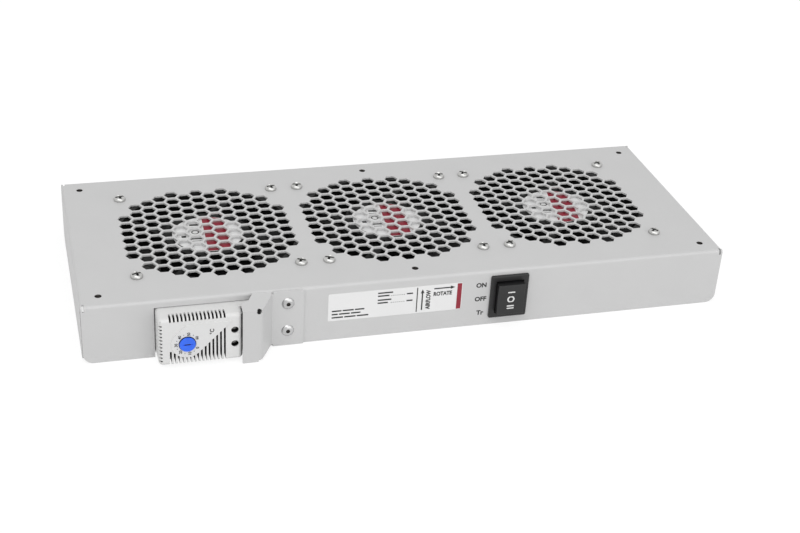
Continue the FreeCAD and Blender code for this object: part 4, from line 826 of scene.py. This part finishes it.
class FANTRAY_OT_rivets(bpy.types.Operator):
    """Turn the hood's blind rivets with their snapped mandrels."""
    bl_idname = "fantray.rivets"
    bl_label = "Hood rivets"

    def execute(self, context):
        low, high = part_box("hood_rivets")
        width = high.x - low.x
        head_r = width / 2.0
        head_h = head_r * 0.37
        centre_x = (low.x + high.x) / 2.0
        work = bmesh.new()
        stubs = bmesh.new()
        for z in (low.z + head_r, high.z - head_r):
            top = Vector((centre_x, low.y + head_h, z))
            out = Vector((0, -1, 0))
            lathe(work, [(0.0, head_h * 0.3), (head_r * 0.3, head_h * 0.3), (head_r * 0.33, head_h * 0.93),
                         (head_r * 0.4, head_h), (head_r * 0.62, head_h * 0.86),
                         (head_r * 0.85, head_h * 0.5),
                         (head_r * 0.98, head_h * 0.14), (head_r, 0.0), (0.0, 0.0)], top, out, 32)
            stem = -(high.y - top.y)
            lathe(work, [(0.0, 0.0), (head_r * 0.48, 0.0), (head_r * 0.48, stem * 0.62),
                         (head_r * 0.7, stem * 0.72), (head_r * 0.68, stem), (0.0, stem)], top, out, 24)
            lathe(stubs, [(0.0, head_h * 0.29), (head_r * 0.29, head_h * 0.29), (head_r * 0.28, head_h * 0.6),
                          (head_r * 0.12, head_h * 0.72), (0.0, head_h * 0.66)], top, out, 16)
        heads = new_piece("rivet_heads", finished_mesh(work, "rivet_heads"), "rivet_metal", "tray")
        smooth(heads.data, 40.0)
        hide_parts("hood_rivets")
        # painted shade: near-black mandrel stubs stand for the shade in the rivets' bores
        new_piece("rivet_mandrels", finished_mesh(stubs, "rivet_mandrels"), "dark_bronze", "tray")
        return {"FINISHED"}


class FANTRAY_OT_thermostat(bpy.types.Operator):
    """Ease the thermostat's shell and dial, print the dial's scale, and paint shade in the dial's slot and
    round the dial.
    """
    bl_idname = "fantray.thermostat"
    bl_label = "Thermostat"

    def execute(self, context):
        s = sizes()
        eased_copy("thermostat_housing", "thermostat_shell", s.shell_edge * 0.7, "shell_plastic", "tray")
        eased_copy("thermostat_dial", "setting_dial", s.shell_edge, "dial_plastic", "dial")
        dial = middle("thermostat_dial")
        face_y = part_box("thermostat_housing")[0].y
        low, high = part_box("thermostat_dial")
        # painted shade: a black bar set down in the dial's pointer slot
        slot_shade = Print(Vector((dial.x, low.y + 0.65 * MM, dial.z)), *UPRIGHT_FRONT)
        slot_shade.bar(-1.9 * MM, 1.9 * MM, -0.47 * MM, 0.47 * MM)
        slot_shade.piece("dial_pointer", "black_print", "dial", "dial_blue")
        origin = Vector((dial.x, face_y, dial.z))
        figures = Print(origin, *UPRIGHT_FRONT)
        for k in range(7):
            angle = s.scale_start - k * s.scale_step
            figures.text(str(10 * k), s.scale_figure, s.scale_ring * math.cos(angle),
                         s.scale_ring * math.sin(angle), 0.035, turned=True)
        figures.text("°C", 2.9 * MM, 15.1 * MM, 7.4 * MM, 0.03, turned=True)
        # painted shade: a black ring round the dial, where the gap about it lies in shade
        figures.ring(0.0, 0.0, (high.x - low.x) / 2.0 + 0.45 * MM, (high.x - low.x) / 2.0 - 0.3 * MM)
        figures.piece("dial_figures", "black_print", "tray", "thermostat_plastic")
        grown("dial_dots", scale_dots_tree(),
              {"Count": 6, "Ring Radius": s.scale_ring, "Dot Radius": s.scale_dot, "Thickness": 2.0 * s.ink,
               "First Angle": s.scale_start - s.scale_step / 2.0, "Step Angle": -s.scale_step,
               "Centre": origin, "Finish": finish_named("black_print")},
              "black_print", "tray")
        return {"FINISHED"}


class FANTRAY_OT_switch(bpy.types.Operator):
    """Ease the rocker switch, mark its positions and print its legends on the flange."""
    bl_idname = "fantray.switch"
    bl_label = "Rocker switch"

    def execute(self, context):
        s = sizes()
        eased_copy("switch_housing", "switch_bezel", s.switch_edge, "bezel_plastic", "tray")
        eased_copy("switch_rocker", "rocker_cap", s.switch_edge, "rocker_plastic", "rocker",
                   3)
        centre = middle("switch_rocker")
        marks = Print(Vector((centre.x, 0.0, centre.z)), *UPRIGHT_FRONT)
        for z in (5.4, -4.9, -6.7):
            marks.origin.y = self.face_y(centre, z * MM)
            marks.bar(-2.4 * MM, 2.4 * MM, (z - 0.5) * MM, (z + 0.5) * MM)
        marks.origin.y = self.face_y(centre, 0.0)
        marks.ring(0.0, 0.0, 2.5 * MM, 1.5 * MM)
        marks.piece("rocker_marks", "pale_print", "rocker", "switch_black")
        front_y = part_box("tray_panel")[0].y
        legends = Print(Vector((0, front_y, 0)), *UPRIGHT_FRONT)
        for words, x, z in (("ON", 42.1, -10.1), ("OFF", 42.3, -20.5), ("Tr", 42.7, -31.0)):
            legends.text(words, s.legend, x * MM, z * MM, 0.04)
        legends.piece("switch_legends", "black_print", "tray", "tray_paint")
        return {"FINISHED"}

    def face_y(self, centre, z):
        """Depth of the dished face at a height from its middle, from the rocker's own mesh."""
        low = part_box("switch_rocker")[0]
        face = [v.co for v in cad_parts["switch_rocker"].data.vertices if v.co.y < low.y + 2.0 * MM]
        half = max(abs(p.z - centre.z) for p in face)
        dish = max(p.y for p in face) - low.y
        return low.y + dish * (1.0 - (z / half) ** 2)


class FANTRAY_OT_airflow_label(bpy.types.Operator):
    """Print arrows, words and rules on the long label of the front flange."""
    bl_idname = "fantray.airflow_label"
    bl_label = "Airflow label"

    def execute(self, context):
        low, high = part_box("front_label")
        ink = Print(Vector((0, low.y, 0)), *UPRIGHT_FRONT)
        ink.bar(-1.55 * MM, -0.85 * MM, low.z + 0.9 * MM, high.z - 0.9 * MM)
        ink.arrow((2.3 * MM, -24.6 * MM), (2.3 * MM, -9.0 * MM), 0.9 * MM, 3.0 * MM)
        ink.text("AIRFLOW", 3.1 * MM, 6.3 * MM, -17.2 * MM, 0.045, turned=True, reach=14.6 * MM)
        ink.arrow((10.0 * MM, -9.4 * MM), (24.2 * MM, -9.4 * MM), 0.9 * MM, 3.0 * MM)
        ink.text("ROTATE", 3.1 * MM, 16.0 * MM, -13.4 * MM, 0.045, reach=12.4 * MM)
        rows = ((-19.4, ((-57.3, -51.0), (-50.2, -43.0), (-42.2, -36.0))),
                (-21.8, ((-57.3, -53.4), (-52.6, -45.5), (-44.7, -38.5))),
                (-24.2, ((-57.3, -49.8), (-49.0, -41.6), (-40.8, -33.2))),
                (-9.0, ((-27.4, -17.5),)), (-11.2, ((-27.4, -19.8), (-8.2, -4.2))),
                (-14.2, ((-27.4, -18.4),)), (-16.4, ((-27.4, -20.6), (-8.2, -4.2))))
        for z, runs in rows:
            for x0, x1 in runs:
                ink.bar(x0 * MM, x1 * MM, (z - 0.5) * MM, (z + 0.5) * MM)
        for z in (-11.5, -16.7):
            for k in range(7):
                x = -18.6 + 1.4 * k
                ink.bar(x * MM, (x + 0.5) * MM, (z - 0.25) * MM, (z + 0.25) * MM)
        ink.piece("label_print", "black_print", "tray", "front_label")
        red = Print(Vector((0, low.y, 0)), *UPRIGHT_FRONT)
        red.bar(high.x - 3.5 * MM, high.x - 0.4 * MM, low.z + 0.4 * MM, high.z - 0.4 * MM)
        red.piece("label_red_bar", "red_print", "tray", "front_label")
        return {"FINISHED"}


class FANTRAY_OT_studio(bpy.types.Operator):
    """Set the camera, the soft lamps, the white world and the floor."""
    bl_idname = "fantray.studio"
    bl_label = "Studio"

    def execute(self, context):
        st = studio()
        scene = context.scene
        camera = bpy.data.cameras.new(st.studio_name + "_camera")
        camera.lens = st.lens
        camera.sensor_width = 36.0
        camera.clip_start = 0.05
        camera.clip_end = 20.0
        holder = bpy.data.objects.new(camera.name, camera)
        scene.collection.objects.link(holder)
        ahead = Vector((math.sin(st.heading) * math.cos(st.dip), math.cos(st.heading) * math.cos(st.dip),
                        -math.sin(st.dip)))
        level = ahead.to_track_quat("-Z", "Y").to_matrix()
        holder.matrix_world = Matrix.Translation(st.eye) @ (
            Matrix.Rotation(-st.roll, 3, ahead) @ level).to_4x4()
        scene.camera = holder
        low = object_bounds()[0]
        self.lamp(scene, "key", (-0.5, -0.9, 1.5), 1.6, st.key)
        self.lamp(scene, "fill", (0.7, -1.6, 0.7), 1.8, st.fill)
        self.world(scene, st)
        if st.show_floor:
            self.floor(scene, low.z - 0.2 * MM, st)
        scene.view_settings.view_transform = "Standard"
        return {"FINISHED"}

    def lamp(self, scene, name, place, size, power):
        light = bpy.data.lights.new(name + "_lamp", "AREA")
        light.shape = "SQUARE"
        light.size = size
        light.energy = power
        obj = bpy.data.objects.new(light.name, light)
        scene.collection.objects.link(obj)
        obj.location = place
        obj.rotation_euler = (-Vector(place)).to_track_quat("-Z", "Y").to_euler()

    def seen(self, tree):
        """Value of 1 for camera, glossy and transmission rays."""
        path = add_node(tree, "ShaderNodeLightPath", (-900, 300)).outputs
        first = calculate(tree, "MAXIMUM", (-700, 300), path["Is Camera Ray"], path["Is Glossy Ray"])
        return calculate(tree, "MAXIMUM", (-520, 300), first, path["Is Transmission Ray"])

    def world(self, scene, st):
        """White to the eye, with a light of its own strength."""
        world = bpy.data.worlds.new("white_room")
        world.use_nodes = True
        tree = world.node_tree
        tree.nodes.clear()
        light, white = (add_node(tree, "ShaderNodeBackground", (-300, y),
                                 {"Color": (1.0, 1.0, 1.0, 1.0), "Strength": strength})
                        for y, strength in ((100, st.world), (-100, 1.0)))
        mix = add_node(tree, "ShaderNodeMixShader", (0, 0),
                       {0: self.seen(tree), 1: light.outputs[0], 2: white.outputs[0]})
        add_node(tree, "ShaderNodeOutputWorld", (200, 0), {"Surface": mix.outputs[0]})
        scene.world = world

    def outside(self, tree, half_x, half_y, fade):
        """Value that rises from 0 under the tray to 1 a fade's width outside its plan."""
        coords = add_node(tree, "ShaderNodeTexCoord", (-1500, 0))
        split = add_node(tree, "ShaderNodeSeparateXYZ", (-1300, 0), {0: coords.outputs["Object"]})
        gaps = [calculate(tree, "SUBTRACT", (-950, y),
                          calculate(tree, "ABSOLUTE", (-1100, y), split.outputs[axis]), half)
                for axis, half, y in (("X", half_x, 0), ("Y", half_y, -150))]
        far = calculate(tree, "MAXIMUM", (-800, 0), *gaps)
        return add_node(tree, "ShaderNodeMapRange", (-650, 0),
                        {"Value": far, "From Min": 0.0, "From Max": fade}).outputs["Result"]

    def floor(self, scene, z, st):
        """Pale floor with painted shade under the tray, where its glow is taken away, clear from below and to
        diffuse light from inside the tray.
        """
        mesh = bpy.data.meshes.new("floor")
        reach = 6.0
        mesh.from_pydata([(-reach, -reach, z), (reach, -reach, z), (reach, reach, z), (-reach, reach, z)],
                         [], [(0, 1, 2, 3)])
        obj = bpy.data.objects.new("floor", mesh)
        scene.collection.objects.link(obj)
        mat = bpy.data.materials.new("pale_floor")
        mat.use_nodes = True
        tree = mat.node_tree
        tree.nodes.clear()
        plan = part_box("tray_panel")[1]
        # painted shade: the floor's glow fades out inside the tray's plan, set by place, not by light
        outside = self.outside(tree, plan.x - st.dark_in, plan.y - st.dark_in, st.dark_in / 2.0)
        plain, shaded = (add_node(tree, "ShaderNodeBsdfDiffuse", (-500, y),
                                  {"Color": (grey, grey, grey, 1.0)})
                         for y, grey in ((100, 0.8), (-50, st.shadow)))
        level = calculate(tree, "MULTIPLY", (-450, -250), outside, 1.0 - 0.75 * st.shadow)
        glow = add_node(tree, "ShaderNodeEmission", (-300, -250), {"Strength": level})
        both = add_node(tree, "ShaderNodeAddShader", (-150, -100), {0: shaded.outputs[0], 1: glow.outputs[0]})
        mix = add_node(tree, "ShaderNodeMixShader", (0, 0),
                       {0: self.seen(tree), 1: plain.outputs[0], 2: both.outputs[0]})
        path = add_node(tree, "ShaderNodeLightPath", (-350, 500))
        within = calculate(tree, "SUBTRACT", (-350, 350), 1.0, outside)
        upward = calculate(tree, "MULTIPLY", (-150, 450), path.outputs["Is Diffuse Ray"], within)
        under = add_node(tree, "ShaderNodeNewGeometry", (0, 300))
        passing = calculate(tree, "MAXIMUM", (50, 450), under.outputs["Backfacing"], upward)
        clear = add_node(tree, "ShaderNodeBsdfTransparent", (0, -200))
        last = add_node(tree, "ShaderNodeMixShader", (200, 0),
                        {0: passing, 1: mix.outputs[0], 2: clear.outputs[0]})
        add_node(tree, "ShaderNodeOutputMaterial", (400, 0), {"Surface": last.outputs[0]})
        mesh.materials.append(mat)
        obj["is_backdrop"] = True


class FANTRAY_PT_panel(bpy.types.Panel):
    """Sidebar panel with the tray's pieces and settings."""
    bl_idname = "FANTRAY_PT_panel"
    bl_label = "Fan tray"
    bl_space_type = "VIEW_3D"
    bl_region_type = "UI"
    bl_category = "Fan tray"

    def draw(self, context):
        for operator in OPERATORS:
            self.layout.operator(operator.bl_idname)
        for group in (colours(), sizes(), studio()):
            box = self.layout.box()
            for name in group.__annotations__:
                box.prop(group, name)


OPERATORS = (FANTRAY_OT_finishes, FANTRAY_OT_sheet_metal, FANTRAY_OT_fans, FANTRAY_OT_fan_labels,
             FANTRAY_OT_fan_screws, FANTRAY_OT_mount_threads, FANTRAY_OT_rivets, FANTRAY_OT_thermostat,
             FANTRAY_OT_switch, FANTRAY_OT_airflow_label, FANTRAY_OT_studio)
CLASSES = (TrayColours, TraySizes, TrayStudio) + OPERATORS + (FANTRAY_PT_panel,)


def register():
    for cls in CLASSES:
        bpy.utils.register_class(cls)
    bpy.types.Scene.tray_colours = PointerProperty(type=TrayColours)
    bpy.types.Scene.tray_sizes = PointerProperty(type=TraySizes)
    bpy.types.Scene.tray_studio = PointerProperty(type=TrayStudio)


def unregister():
    del bpy.types.Scene.tray_studio
    del bpy.types.Scene.tray_sizes
    del bpy.types.Scene.tray_colours
    for cls in reversed(CLASSES):
        bpy.utils.unregister_class(cls)


def main():
    register()
    for operator in OPERATORS:
        area, name = operator.bl_idname.split(".")
        getattr(getattr(bpy.ops, area), name)()


if __name__ == "__main__":
    main()
